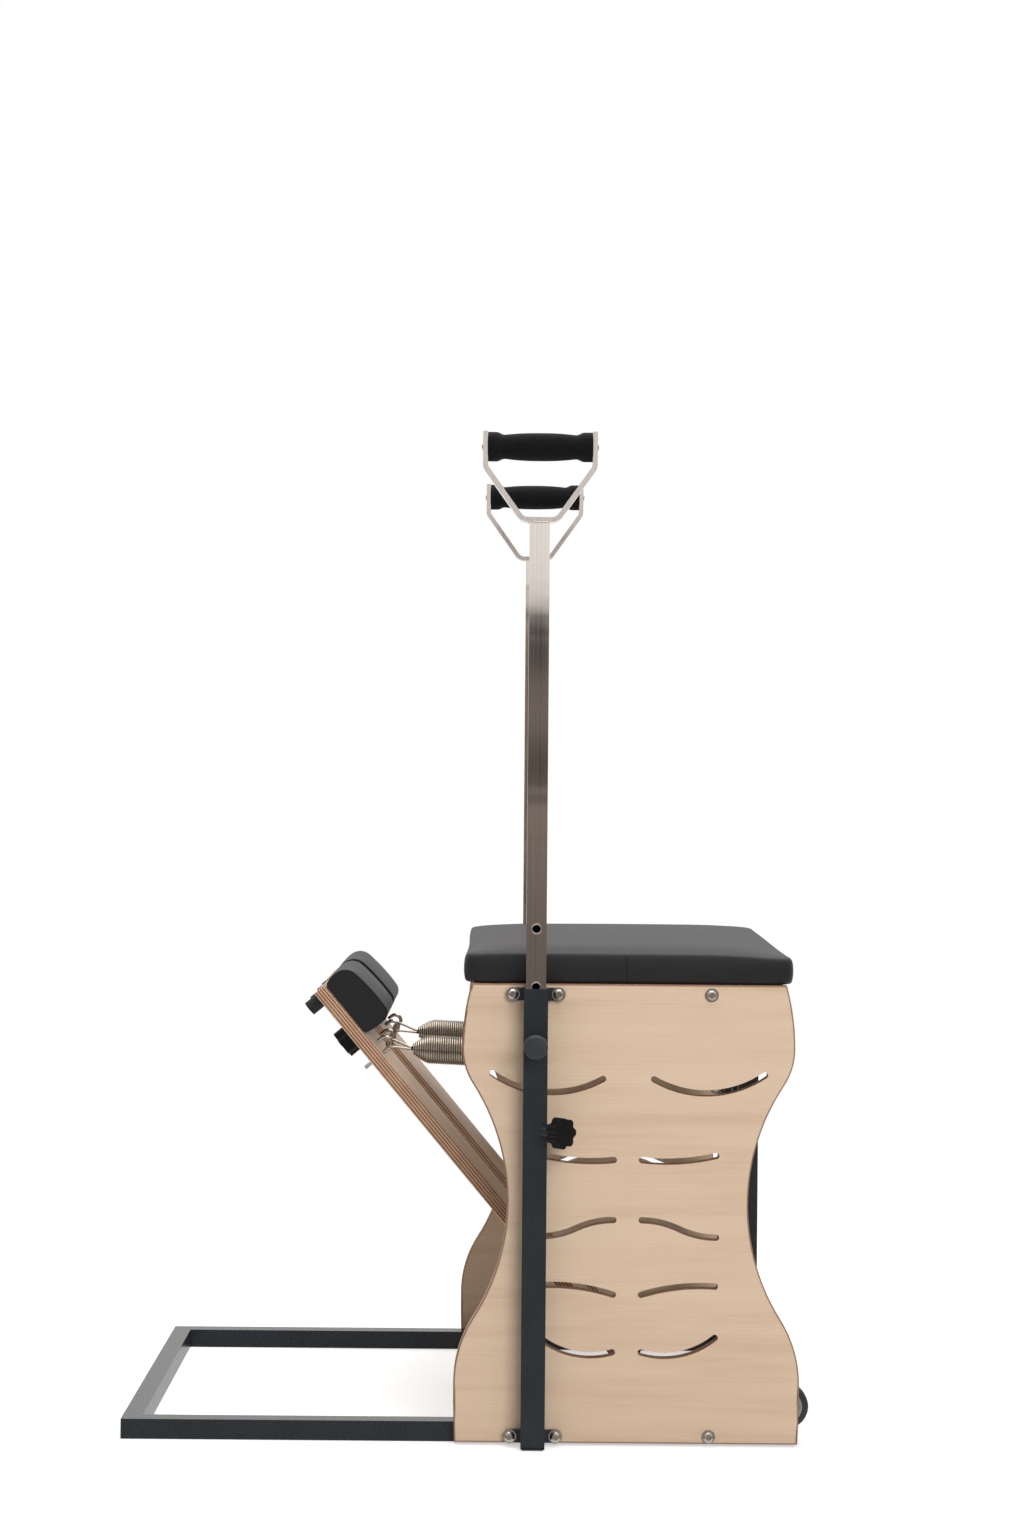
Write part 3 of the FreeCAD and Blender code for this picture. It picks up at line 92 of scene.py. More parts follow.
class Nodes:
    """A node tree whose nodes are added one at a time."""

    def __init__(self, tree):
        self.tree = tree

    def add(self, kind, inputs=None, **settings):
        node = self.tree.nodes.new(kind)
        for key, value in settings.items():
            setattr(node, key, value)
        for socket, value in (inputs or {}).items():
            if isinstance(value, bpy.types.NodeSocket):
                self.tree.links.new(value, node.inputs[socket])
            else:
                node.inputs[socket].default_value = value
        return node

    def math(self, operation, first, second=0.0):
        return self.add("ShaderNodeMath", {0: first, 1: second}, operation=operation).outputs[0]

    def times(self, first, second):
        return self.math("MULTIPLY", first, second)

    def vector(self, operation, first, second):
        """Sum, difference or product of two vectors."""
        return self.add("ShaderNodeVectorMath", {0: first, 1: second}, operation=operation).outputs["Vector"]

    def dot(self, first, second):
        node = self.add("ShaderNodeVectorMath", {0: first, 1: second}, operation="DOT_PRODUCT")
        return node.outputs["Value"]

    def length(self, vector):
        return self.add("ShaderNodeVectorMath", {0: vector}, operation="LENGTH").outputs["Value"]

    def span(self, factor, low, high):
        """A factor from 0 to 1 mapped to a range of values."""
        return self.add("ShaderNodeMapRange", {"Value": factor, "To Min": low, "To Max": high}).outputs[0]

    def share(self, value, low, high, **settings):
        """A range of values mapped to a factor from 0 to 1."""
        inputs = {"Value": value, "From Min": low, "From Max": high}
        return self.add("ShaderNodeMapRange", inputs, **settings).outputs[0]

    def ease(self, value, low, high):
        """A share that starts and ends softly."""
        return self.share(value, low, high, interpolation_type="SMOOTHSTEP")

    def mix(self, factor, first, second):
        return self.add("ShaderNodeMix", {0: factor, 6: first, 7: second}, data_type="RGBA").outputs[2]

    def ramp(self, factor, *stops):
        node = self.add("ShaderNodeValToRGB", {"Fac": factor})
        elements = node.color_ramp.elements
        while len(elements) < len(stops):
            elements.new(0.5)
        for element, (position, colour) in zip(elements, stops):
            element.position = position
            element.color = colour
        return node.outputs["Color"]


class Finish(Nodes):
    """A material with some of its shader's values set and the others linked to nodes."""

    def __init__(self, name, **constants):
        self.material = bpy.data.materials.new(name)
        self.material.use_nodes = True
        super().__init__(self.material.node_tree)
        self.shader = self.tree.nodes["Principled BSDF"]
        for socket, value in constants.items():
            self.shader.inputs[socket.replace("_", " ")].default_value = value
        places = self.add("ShaderNodeTexCoord").outputs
        self.place = places["Object"]
        self.normal = places["Normal"]

    def stretched(self, *scale):
        """Object coordinates, each axis scaled."""
        return self.vector("MULTIPLY", self.place, scale)

    def noise(self, vector, scale=1.0, detail=3.0, rough=0.5):
        inputs = {"Vector": vector, "Scale": scale, "Detail": detail, "Roughness": rough}
        return self.add("ShaderNodeTexNoise", inputs).outputs["Fac"]

    def done(self, colour, rough, height, strength, distance):
        """Link colour, roughness and a bump of this height; gives the material."""
        bump = self.add("ShaderNodeBump", {"Height": height, "Strength": strength, "Distance": distance})
        for socket, value in (("Base Color", colour), ("Roughness", rough), ("Normal", bump.outputs[0])):
            self.tree.links.new(value, self.shader.inputs[socket])
        return self.material


# Plywood: a quiet maple face, and layers on every cut edge
PLY = 0.0018
FACE_DARK = tint(196, 165, 135)
FACE_LIGHT = tint(217, 192, 166)
FACE_PALE = tint(224, 201, 176)
FACE_WARM = tint(214, 186, 156)
EDGE_DARK = tint(126, 89, 67)
EDGE_MIDDLE = tint(166, 127, 100)
EDGE_LIGHT = tint(208, 171, 140)
RIM_BROWN = tint(140, 102, 79)
RIM_SHARE = 0.85
RING_WAVES = 1500.0
RING_DRIFT = 70.0


def plywood(name, grain, through, low, rim_share=0.0):
    """Wood with fibres along one axis and layers through another, counted from the low face."""
    finish = Finish(name, Specular_IOR_Level=0.4, Coat_Weight=0.12, Coat_Roughness=0.35)
    along = finish.dot(finish.place, grain)
    side = finish.dot(finish.place, Vector(grain).cross(Vector(through)))
    depth = finish.math("SUBTRACT", finish.math("ABSOLUTE", finish.dot(finish.place, through)), low)

    def on_grain(lengthways, sideways):
        """Places scaled along and across the fibres."""
        inputs = {0: finish.times(along, lengthways), 1: finish.times(side, sideways), 2: depth}
        return finish.add("ShaderNodeCombineXYZ", inputs).outputs[0]

    figure = finish.noise(on_grain(2.2, 30.0), detail=5.0, rough=0.6)
    fibre = finish.noise(on_grain(18.0, 420.0), detail=4.0, rough=0.6)
    broad = finish.noise(finish.stretched(2.5, 2.5, 4.0), detail=2.0)
    drift = finish.times(finish.noise(on_grain(1.3, 9.0), detail=2.0), RING_DRIFT)
    rings = finish.math("SINE", finish.math("ADD", finish.times(side, RING_WAVES), drift))
    lines = finish.ramp(rings, (0.5, BLACK), (0.95, WHITE))
    face = finish.ramp(figure, (0.22, FACE_DARK), (0.5, FACE_LIGHT), (0.76, FACE_PALE))
    face = finish.mix(finish.times(lines, 0.2), face, FACE_DARK)
    face = finish.mix(finish.times(fibre, 0.22), face, FACE_DARK)
    face = finish.mix(finish.span(broad, 0.0, 0.25), face, FACE_WARM)

    layer = finish.math("SINE", finish.times(depth, math.pi / PLY))
    streak = finish.noise(finish.place, 60.0)
    layer = finish.math("ADD", finish.times(layer, 0.5), finish.times(streak, 0.5))
    edge = finish.ramp(layer, (0.0, EDGE_DARK), (0.3, EDGE_MIDDLE), (0.62, EDGE_LIGHT))

    facing = finish.math("ABSOLUTE", finish.dot(finish.normal, through))
    on_edge = finish.ramp(facing, (0.66, WHITE), (0.88, BLACK))
    on_rim = finish.ramp(facing, (0.06, BLACK), (0.3, WHITE), (0.93, WHITE), (0.985, BLACK))
    colour = finish.mix(on_edge, face, edge)
    colour = finish.mix(finish.times(on_rim, rim_share), colour, RIM_BROWN)
    rough = finish.span(fibre, 0.42, 0.58)
    return finish.done(colour, rough, finish.math("ADD", fibre, figure), 0.12, 0.0004)


# Metals
def powder_coat():
    finish = Finish("powder_coat", Specular_IOR_Level=0.5)
    peel = finish.noise(finish.place, 900.0, 2.0)
    broad = finish.noise(finish.place, 14.0, 4.0, 0.6)
    colour = finish.ramp(broad, (0.3, tint(29, 35, 40)), (0.7, tint(37, 43, 48)))
    return finish.done(colour, finish.span(peel, 0.2, 0.32), peel, 0.25, 0.0003)


def chrome(name, hollow, low, high):
    """Drawn and plated bar; a hollow one is dull within its walls and has painted shade on them."""
    finish = Finish(name, Metallic=1.0)
    drawn = finish.noise(finish.stretched(420.0, 420.0, 3.0), detail=4.0, rough=0.6)
    wave = finish.noise(finish.stretched(1.0, 1.0, 9.0), rough=0.55)
    colour = finish.ramp(drawn, (0.2, tint(209, 200, 192)), (0.8, tint(238, 233, 228)))
    rough = finish.span(drawn, low, high)
    if hollow:
        parts = finish.add("ShaderNodeSeparateXYZ", {0: finish.place}).outputs
        across = finish.math("ABSOLUTE", finish.math("SUBTRACT", parts["X"], UPRIGHT_X))
        deep = finish.math("SUBTRACT", finish.math("ABSOLUTE", parts["Y"]), UPRIGHT_Y)
        reach = finish.math("MAXIMUM", across, finish.math("ABSOLUTE", deep))
        shaded_bore = finish.math("LESS_THAN", reach, POST_BORE)
        # Painted shade: the bore's walls are coloured near black
        colour = finish.mix(shaded_bore, colour, tint(24, 23, 23))
        rough = finish.math("MAXIMUM", rough, finish.times(shaded_bore, 0.7))
    height = finish.math("ADD", wave, finish.times(drawn, 0.02))
    return finish.done(colour, rough, height, 0.06, 0.004)


def steel(name, light, dark, low, high):
    finish = Finish(name, Metallic=1.0)
    patch = finish.noise(finish.place, 60.0, 4.0, 0.6)
    brush = finish.noise(finish.stretched(900.0, 200.0, 900.0))
    colour = finish.ramp(patch, (0.25, dark), (0.75, light))
    return finish.done(colour, finish.span(brush, low, high), brush, 0.1, 0.0002)


# Plastic, rubber, foam and leather
def moulded(name, dark, light, rough, grain, gloss=0.4):
    finish = Finish(name, Specular_IOR_Level=gloss)
    cells = finish.noise(finish.place, grain, 3.0, 0.6)
    broad = finish.noise(finish.place, 45.0)
    colour = finish.ramp(broad, (0.3, dark), (0.7, light))
    return finish.done(colour, finish.span(cells, rough - 0.08, rough + 0.08), cells, 0.2, 0.0003)


# Radius of the hub's sunk middle, which is painted dark as shade
HUB_SHADED_DISH = 0.0162


def wheel_hub():
    """Pale ring round a sunk middle, with painted shade over the whole middle."""
    finish = Finish("hub_grey", Specular_IOR_Level=0.4)
    grain = finish.noise(finish.place, 1200.0, 3.0, 0.6)
    broad = finish.noise(finish.place, 45.0)
    from_axle = finish.vector("SUBTRACT", finish.place, WHEEL)
    radius = finish.length(finish.vector("MULTIPLY", from_axle, (1.0, 0.0, 1.0)))
    ring = finish.ramp(broad, (0.3, tint(128, 129, 131)), (0.7, tint(150, 151, 152)))
    # Painted shade: the sunk middle is coloured near black, as the shade of its recess
    middle = finish.ramp(broad, (0.3, tint(30, 30, 31)), (0.7, tint(42, 42, 43)))
    colour = finish.mix(finish.math("LESS_THAN", radius, HUB_SHADED_DISH), ring, middle)
    return finish.done(colour, finish.span(grain, 0.42, 0.58), grain, 0.2, 0.0003)


def foam():
    finish = Finish("black_foam", Specular_IOR_Level=0.15, Sheen_Weight=0.06, Sheen_Roughness=0.5)
    cells = finish.add("ShaderNodeTexVoronoi", {"Vector": finish.place, "Scale": 900.0})
    pores = cells.outputs["Distance"]
    colour = finish.ramp(pores, (0.1, tint(8, 8, 9)), (0.7, tint(19, 19, 21)))
    return finish.done(colour, finish.span(pores, 0.98, 0.82), pores, 0.4, 0.0008)


def leather():
    finish = Finish("charcoal_leather", Specular_IOR_Level=0.3, Sheen_Weight=0.03, Sheen_Roughness=0.4)
    warp = finish.span(finish.noise(finish.place, 90.0), 0.0, 0.004)
    inputs = {"Vector": finish.vector("ADD", finish.place, warp), "Scale": 620.0}
    pebble = finish.add("ShaderNodeTexVoronoi", inputs, feature="SMOOTH_F1").outputs["Distance"]
    broad = finish.noise(finish.place, 7.0, 4.0, 0.6)
    colour = finish.ramp(broad, (0.3, tint(26, 26, 28)), (0.7, tint(34, 33, 35)))
    colour = finish.mix(finish.span(pebble, 0.0, 0.35), colour, tint(20, 20, 22))
    height = finish.math("ADD", pebble, finish.times(broad, 2.0))
    return finish.done(colour, finish.span(pebble, 0.48, 0.64), height, 0.16, 0.0006)


finishes = {
    "panel": plywood("panel_plywood", X_AXIS, Y_AXIS, PANEL_INNER, RIM_SHARE),
    "board": plywood("pedal_plywood", BOARD_ALONG, BOARD_NORMAL, BOARD_LOW),
    "seat_board": plywood("seat_plywood", Y_AXIS, Z_AXIS, SEAT_LOW),
    "frame_paint": powder_coat(),
    "chrome": chrome("satin_chrome", False, 0.15, 0.23),
    "post": chrome("post_chrome", True, 0.03, 0.08),
    "steel": steel("bright_steel", tint(205, 200, 193), tint(160, 153, 145), 0.18, 0.34),
    "spring": steel("spring_steel", tint(196, 184, 171), tint(158, 147, 135), 0.2, 0.36),
    "black_plastic": moulded("black_plastic", tint(9, 9, 10), tint(16, 16, 17), 0.4, 1400.0, 0.18),
    "grey_plastic": moulded("grey_plastic", tint(40, 43, 47), tint(50, 53, 57), 0.5, 1600.0),
    "rubber": moulded("black_rubber", tint(22, 22, 22), tint(33, 32, 32), 0.7, 800.0),
    "tyre": moulded("grey_rubber", tint(44, 45, 48), tint(56, 57, 61), 0.6, 800.0),
    "hub_grey": wheel_hub(),
    "foam": foam(),
    "leather": leather(),
}
# Nodes whose finish is not the one named by their material slot
BY_NODE = {"seat_board": "seat_board", "left_side_panel": "panel", "right_side_panel": "panel"}
for side in SIDES:
    BY_NODE.update({side + "_pedal_board": "board", side + "_handle_post": "post", side + "_tyre": "tyre"})
for part in frame["record"]["subparts"]:
    shown = frame["nodes"][part["node"]].data
    shown.materials.clear()
    shown.materials.append(finishes[BY_NODE.get(part["node"], part["material_slot"])])


# Mesh helpers
def piece(name, mesh, finish):
    item = bpy.data.objects.new(name, mesh)
    bpy.context.scene.collection.objects.link(item)
    item.data.materials.append(finishes[finish])
    return item


def smooth(mesh):
    mesh.polygons.foreach_set("use_smooth", [True] * len(mesh.polygons))
    return mesh


def bake(item):
    """Apply all of a piece's modifiers to its mesh."""
    view = bpy.context.evaluated_depsgraph_get()
    done = bpy.data.meshes.new_from_object(item.evaluated_get(view), depsgraph=view)
    item.modifiers.clear()
    item.data = done


def refine(item):
    """Subdivide a piece once and shade it smooth."""
    finer = item.modifiers.new("finer", "SUBSURF")
    finer.levels = 1
    finer.render_levels = 1
    bake(item)
    smooth(item.data)


def ring_faces(low, high, count):
    """Quads between two rings that start at two point numbers."""
    pairs = [(number, (number + 1) % count) for number in range(count)]
    return [(low + here, low + after, high + after, high + here) for here, after in pairs]


def grid_cap(points, first, count, turn):
    """Fill a ring of points with a square grid that starts turn points on; adds points, gives faces."""
    side = count // 4
    ring = [first + (number + turn) % count for number in range(count + 1)]
    ring[count] = ring[0]
    corners = [points[ring[side * number]] for number in range(4)]
    rows = [ring[:side + 1]]
    for row in range(1, side):
        v = row / side
        left, right = ring[count - row], ring[side + row]
        line = [left]
        for column in range(1, side):
            u = column / side
            place = points[ring[column]] * (1 - v) + points[ring[3 * side - column]] * v
            place = place + points[left] * (1 - u) + points[right] * u
            place = place - corners[0] * (1 - u) * (1 - v) - corners[1] * u * (1 - v)
            place = place - corners[2] * u * v - corners[3] * (1 - u) * v
            line.append(len(points))
            points.append(place)
        rows.append(line + [right])
    rows.append([ring[3 * side - column] for column in range(side + 1)])
    faces = []
    for low, high in zip(rows, rows[1:]):
        faces += [(low[n], low[n + 1], high[n + 1], high[n]) for n in range(side)]
    return faces


def lofted(name, rings, ends="flat", sharp=(), turn=0):
    """Skin over closed rings of points, with ends flat, gridded or joined; sharp rings keep an edge."""
    mesh = bpy.data.meshes.new(name)
    count = len(rings[0])
    points = [point for ring in rings for point in ring]
    last = len(points) - count
    faces = []
    for low in range(0, last, count):
        faces += ring_faces(low, low + count, count)
    if ends == "flat":
        faces.append(tuple(reversed(range(count))))
        faces.append(tuple(range(last, last + count)))
    elif ends == "grid":
        faces += grid_cap(points, 0, count, turn) + grid_cap(points, last, count, turn)
    else:
        faces += ring_faces(last, 0, count)
    mesh.from_pydata(points, [], faces)
    build = bmesh.new()
    build.from_mesh(mesh)
    bmesh.ops.recalc_face_normals(build, faces=build.faces)
    crease = build.edges.layers.float.new("crease_edge")
    for edge in build.edges:
        rows = {vertex.index // count for vertex in edge.verts}
        if len(rows) == 1 and rows <= set(sharp):
            edge[crease] = 0.5
    build.to_mesh(mesh)
    build.free()
    return smooth(mesh)


def heading(path, number):
    """Direction of a path at one of its points."""
    return (path[min(number + 1, len(path) - 1)] - path[max(number - 1, 0)]).normalized()


def tube(name, path, radius, sides=8):
    """Round wire along a path of points, with a steady frame."""
    turns = [2 * math.pi * part / sides for part in range(sides)]
    normal = heading(path, 0).orthogonal().normalized()
    rings = []
    for number, point in enumerate(path):
        ahead = heading(path, number)
        normal = (normal - ahead * normal.dot(ahead)).normalized()
        other = ahead.cross(normal)
        rings.append([point + (normal * math.cos(a) + other * math.sin(a)) * radius for a in turns])
    return lofted(name, rings)


def arc_points(start, middle, end, count):
    """Points along the circle through three points of a plane, without the last one."""
    ax, ay = start
    bx, by = middle
    cx, cy = end
    scale = 2 * (ax * (by - cy) + bx * (cy - ay) + cx * (ay - by))
    first, second, third = ax * ax + ay * ay, bx * bx + by * by, cx * cx + cy * cy
    ux = (first * (by - cy) + second * (cy - ay) + third * (ay - by)) / scale
    uy = (first * (cx - bx) + second * (ax - cx) + third * (bx - ax)) / scale
    radius = math.hypot(ax - ux, ay - uy)
    turn = [math.atan2(y - uy, x - ux) for x, y in (start, middle, end)]
    sweep = (turn[2] - turn[0]) % (2 * math.pi)
    if (turn[1] - turn[0]) % (2 * math.pi) > sweep:
        sweep -= 2 * math.pi
    angles = [turn[0] + sweep * part / count for part in range(count)]
    return [(ux + radius * math.cos(a), uy + radius * math.sin(a)) for a in angles]


# Padded pieces: a closed form that swells under pressure between its seams
PRESSURE = 3.0
CLOTH_FRAMES = 20
CLOTH_STIFFNESS = 25


def inflate(item, seams, settle):
    """Swell by cloth pressure with the seams held, then let settle() limit each point's move."""
    before = [vertex.co.copy() for vertex in item.data.vertices]
    held = item.vertex_groups.new(name="seams")
    held.add(seams, 1.0, "REPLACE")
    cloth = item.modifiers.new("cloth", "CLOTH")
    settings = cloth.settings
    settings.quality = 5
    settings.vertex_group_mass = "seams"
    settings.use_pressure = True
    settings.uniform_pressure_force = PRESSURE
    settings.effector_weights.gravity = 0.0
    settings.tension_stiffness = CLOTH_STIFFNESS
    settings.compression_stiffness = CLOTH_STIFFNESS
    settings.bending_stiffness = 2.0
    cloth.collision_settings.use_collision = False
    scene = bpy.context.scene
    for number in range(CLOTH_FRAMES):
        scene.frame_set(number + 1)
    bake(item)
    scene.frame_set(1)
    for vertex, first in zip(item.data.vertices, before):
        vertex.co = settle(first, vertex.co - first)
    refine(item)


def capped(move, most):
    """A move no longer than most."""
    return move * min(1.0, most / max(move.length, 1e-9))


def on_surface(item, path, lift):
    """The path's points moved onto a piece's skin."""
    skin = BVHTree.FromObject(item, bpy.context.evaluated_depsgraph_get())
    moved = []
    for point in path:
        place, normal, _, _ = skin.find_nearest(point)
        moved.append(place + normal * lift)
    return moved


# Seat cushion
SEAT_HALF = (0.2072, 0.3085)
SEAT_SIDE_LIMIT = 0.3115
SEAT_SIDE_POINTS = 24
SEAT_BOW = 0.0025
SEAT_CORNER = 0.024
SEAT_CORNER_LEAST = 0.008
SEAT_CORNER_POINTS = 8
SEAT_FLOOR = SEAT_LOW + 0.0004
SEAT_BASE = SEAT_LOW + 0.001
SEAT_MIDDLE = 0.02
SEAT_CROWN = 0.0036
SEAT_SWELL = 0.003
# Height over the base and how far the plan stands in from the fullest line
SEAT_RINGS = [
    (0.0004, 0.0300), (0.0004, 0.0120), (0.0004, 0.0040), (0.0022, 0.0018), (0.0070, 0.0006),
    (0.0150, 0.0), (0.0240, 0.0002), (0.0310, 0.0010), (0.0354, 0.0022), (0.0376, 0.0042),
    (0.0390, 0.0090), (0.0400, 0.0170), (0.0408, 0.0280),
]
SEAT_SEAM = 9
# Points from the first point of a ring to the middle of its last corner
SEAT_TURN = -SEAT_CORNER_POINTS // 2
# Offset along X, distance from the middle plane and radius of the upright seams
SIDE_SEAM_X = 0.003
SIDE_SEAM_Y = 0.312
SIDE_SEAM_WIRE = 0.0009


def ease(value, low, high):
    """Smooth step from 0 to 1 between two values."""
    share = max(0.0, min(1.0, (value - low) / (high - low)))
    return share * share * (3 - 2 * share)


def seat_fall(x, y):
    """How far the cushion's upper edge sinks towards its ends, most at the near rear corner."""
    return 0.0016 * ease(-x, 0.15, 0.207) + 0.0052 * ease(x, 0.10, 0.207) * ease(-y, -0.12, 0.28)


def seat_ring(height, inset):
    """Outline of the cushion at one height, with bowed sides and round corners."""
    points = []
    half_x = SEAT_HALF[0] - inset
    half_y = SEAT_HALF[1] - inset
    corner = max(SEAT_CORNER - inset * 0.3, SEAT_CORNER_LEAST)
    for quarter in range(4):
        across, along = (half_x, half_y) if quarter % 2 == 0 else (half_y, half_x)
        run = along - corner
        turn = Matrix.Rotation(math.radians(90 * quarter), 3, "Z")
        for part in range(SEAT_SIDE_POINTS):
            step = -run + 2 * run * part / SEAT_SIDE_POINTS
            bow = SEAT_BOW * (1 - (step / run) ** 2)
            points.append(turn @ Vector((across - bow, step, 0)))
        for part in range(SEAT_CORNER_POINTS):
            angle = math.radians(90 * part / SEAT_CORNER_POINTS)
            reach = Vector((math.cos(angle), math.sin(angle), 0)) * corner
            points.append(turn @ (Vector((across - corner, run, 0)) + reach))
    sink = max(0.0, (height - SEAT_MIDDLE) / SEAT_MIDDLE)
    return [Vector((p.x + PANEL_X, p.y, SEAT_LOW + height - sink * seat_fall(p.x, p.y))) for p in points]


def seat_cushion():
    rings = [seat_ring(height, inset) for height, inset in SEAT_RINGS]
    mesh = lofted("seat_leather", rings, "grid", (SEAT_SEAM,), SEAT_TURN)
    item = piece("seat_leather", mesh, "leather")
    count = len(rings[0])
    held = [vertex.index for vertex in mesh.vertices if vertex.co.z < SEAT_BASE]
    held += list(range(SEAT_SEAM * count, (SEAT_SEAM + 1) * count))
    for vertex in mesh.vertices:
        x = (vertex.co.x - PANEL_X) / SEAT_HALF[0]
        y = vertex.co.y / SEAT_HALF[1]
        if vertex.index >= len(rings) * count and vertex.co.z > SEAT_BASE:
            vertex.co.z += SEAT_CROWN * (1 - x * x) * (1 - y * y)

    def settle(first, move):
        place = first + capped(move, SEAT_SWELL)
        place.y = max(-SEAT_SIDE_LIMIT, min(SEAT_SIDE_LIMIT, place.y))
        place.z = max(SEAT_FLOOR, place.z)
        return place

    inflate(item, held, settle)
    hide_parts("seat_cushion")
    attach(item, "chair")
    for way, name in ((-1, "near"), (1, "far")):
        heights = [0.003 + 0.038 * part / 20 for part in range(21)]
        x, y = PANEL_X + SIDE_SEAM_X * way, SIDE_SEAM_Y * way
        path = on_surface(item, [Vector((x, y, SEAT_LOW + height)) for height in heights], 0.0001)
        seam = piece("seat_seam_" + name, tube("seat_seam", path, SIDE_SEAM_WIRE, 6), "leather")
        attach(seam, "chair")


# Foot pads: a wrapped top over two flat ends
PAD_TOE = BOARD_FRONT + 0.0014
PAD_LENGTH = 0.0796
PAD_INNER = 0.018
PAD_OUTER = 0.187
PAD_FLOOR = BOARD_THICK + 0.0004
PAD_TOE_HIGH = 0.0396
PAD_HEEL_HIGH = 0.0426
PAD_TOE_BULGE = 0.0050
PAD_HEEL_BULGE = 0.0030
PAD_BASE_POINTS = 12
PAD_MIDDLE = (PAD_LENGTH * 0.5, 0.020)
PAD_SWELL = 0.0022
PAD_END_INSET = 0.0006
PAD_SEAM_WIRE = 0.0006
# Distance from the pad's end, inset and share of each ring; the fifth one is the seam
PAD_END = [
    (0.0, PAD_END_INSET, 0.2), (0.0, PAD_END_INSET, 0.45), (0.0, PAD_END_INSET, 0.7),
    (0.0, PAD_END_INSET, 0.9), (0.0, PAD_END_INSET, 1.0),
    (0.0020, 0.0002, 1.0), (0.0060, 0.0, 1.0), (0.0140, 0.0, 1.0),
]
PAD_SEAM = 4
# Start, step and number of the rings between the two ends
PAD_RUN_START = 0.0258
PAD_RUN_STEP = 0.0131
PAD_RUN_RINGS = 10


def pad_profile(inset):
    """Side view of the pad over its board: low at the toe, full at the heel."""
    low = PAD_TOE_HIGH - inset
    high = PAD_HEEL_HIGH - inset
    length = PAD_LENGTH
    toe_bulge = PAD_TOE_BULGE - inset
    heel_bulge = PAD_HEEL_BULGE - inset
    toe_foot = (inset, 0.0)
    toe_side = (-toe_bulge, low * 0.49)
    toe_top = (length * 0.13 + inset, low)
    heel_top = (length * 0.87 - inset, high)
    heel_side = (length + heel_bulge, high * 0.75)
    heel_foot = (length - inset, 0.0)
    points = arc_points(toe_foot, (-toe_bulge * 0.75, low * 0.22), toe_side, 6)
    points += arc_points(toe_side, (inset - length * 0.006, low * 0.83), toe_top, 7)
    points += arc_points(toe_top, (length * 0.49, high), heel_top, 14)
    points += arc_points(heel_top, (length * 0.99 - inset, high * 0.91), heel_side, 6)
    points += arc_points(heel_side, (length + heel_bulge * 0.9, high * 0.36), heel_foot, 8)
    for part in range(PAD_BASE_POINTS):
        points.append((heel_foot[0] + (toe_foot[0] - heel_foot[0]) * part / PAD_BASE_POINTS, 0.0))
    return points


def pad_ring(across, inset, share=1.0):
    """Ring of points round the pad; a share under 1 draws it in towards the middle of the end."""
    ring = []
    for x, z in pad_profile(inset):
        x = PAD_MIDDLE[0] + (x - PAD_MIDDLE[0]) * share
        z = PAD_MIDDLE[1] + (z - PAD_MIDDLE[1]) * share
        ring.append(PEDAL @ Vector((PAD_TOE + x, across, PAD_FLOOR + z)))
    return ring


def foot_pad(side):
    way = SIDES[side]
    plan = [(PAD_INNER + along, inset, share) for along, inset, share in PAD_END]
    for part in range(PAD_RUN_RINGS):
        plan.append((PAD_INNER + PAD_RUN_START + PAD_RUN_STEP * part, 0.0, 1.0))
    plan += [(PAD_OUTER - along, inset, share) for along, inset, share in reversed(PAD_END)]
    rings = [pad_ring(way * across, inset, share) for across, inset, share in plan]
    ends = (PAD_SEAM, len(rings) - 1 - PAD_SEAM)
    name = side + "_pad_leather"
    item = piece(name, lofted(name, rings, sharp=ends), "leather")
    count = len(rings[0])
    seams = [row * count + number for row in ends for number in range(count)]
    for row in range(1, len(rings) + 1):
        seams += [row * count - 1 - number for number in range(PAD_BASE_POINTS)]
    level = PEDAL.inverted()

    def settle(first, move):
        local = level @ (first + capped(move, PAD_SWELL))
        local.z = max(PAD_FLOOR, local.z)
        return PEDAL @ local

    inflate(item, seams, settle)
    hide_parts(side + "_foot_pad")
    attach(item, side + "_pedal")
    for end, across in (("inner", PAD_INNER), ("outer", PAD_OUTER)):
        path = pad_ring(way * across, PAD_END_INSET)[1:count - PAD_BASE_POINTS]
        wire = tube("pad_seam", on_surface(item, path, 0.0), PAD_SEAM_WIRE, 6)
        seam = piece("%s_pad_seam_%s" % (side, end), wire, "leather")
        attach(seam, side + "_pedal")


# Handles: flat bar bracket on the post, foam grip on a rod with domed ends
BAR_HALF = 0.0031
BAR_ARM = 0.0679
BAR_LINE = [
    (-BAR_ARM, 0.0184), (-BAR_ARM, -0.0255), (-0.0215, -0.0909),
    (0.0215, -0.0909), (BAR_ARM, -0.0255), (BAR_ARM, 0.0184),
]
BAR_BEND = 0.013
BAR_EDGE = 0.0004
BAR_SHARP = math.radians(10)
# Distance from the middle and radius
GRIP_LINE = [
    (0.0, 0.0175), (0.012, 0.01745), (0.024, 0.0170), (0.034, 0.0162), (0.0415, 0.0153),
    (0.0447, 0.0150), (0.0470, 0.0154), (0.0505, 0.0173), (0.0528, 0.0182), (0.0545, 0.0184),
    (0.0600, 0.0184), (0.0640, 0.0184), (0.0650, 0.0181), (0.0654, 0.0170), (0.0655, 0.0150),
    (0.0655, 0.0063),
]
GRIP_SWELL = 0.006
ROD_END = [(0.0600, 0.0046), (0.0712, 0.0046), (0.0719, 0.0043), (0.0725, 0.0034), (0.0728, 0.0018)]
INDEX_LEVELS = [0.286 + 0.072 * number for number in range(6)]
INDEX_SIDES = 28
# Reach from the hole's axis and rise over the post's face
INDEX_LIP = [
    (0.0050, 0.0), (0.0052, 0.0003), (0.0060, 0.0004),
    (0.0066, 0.0002), (0.0067, -0.0004), (0.0050, -0.0010),
]
WELD_LOW = 0.0942
WELD_HALF = 0.0105
WELD_STEPS = 24
WELD_SINK = 0.0004
WELD_RADIUS = 0.0011


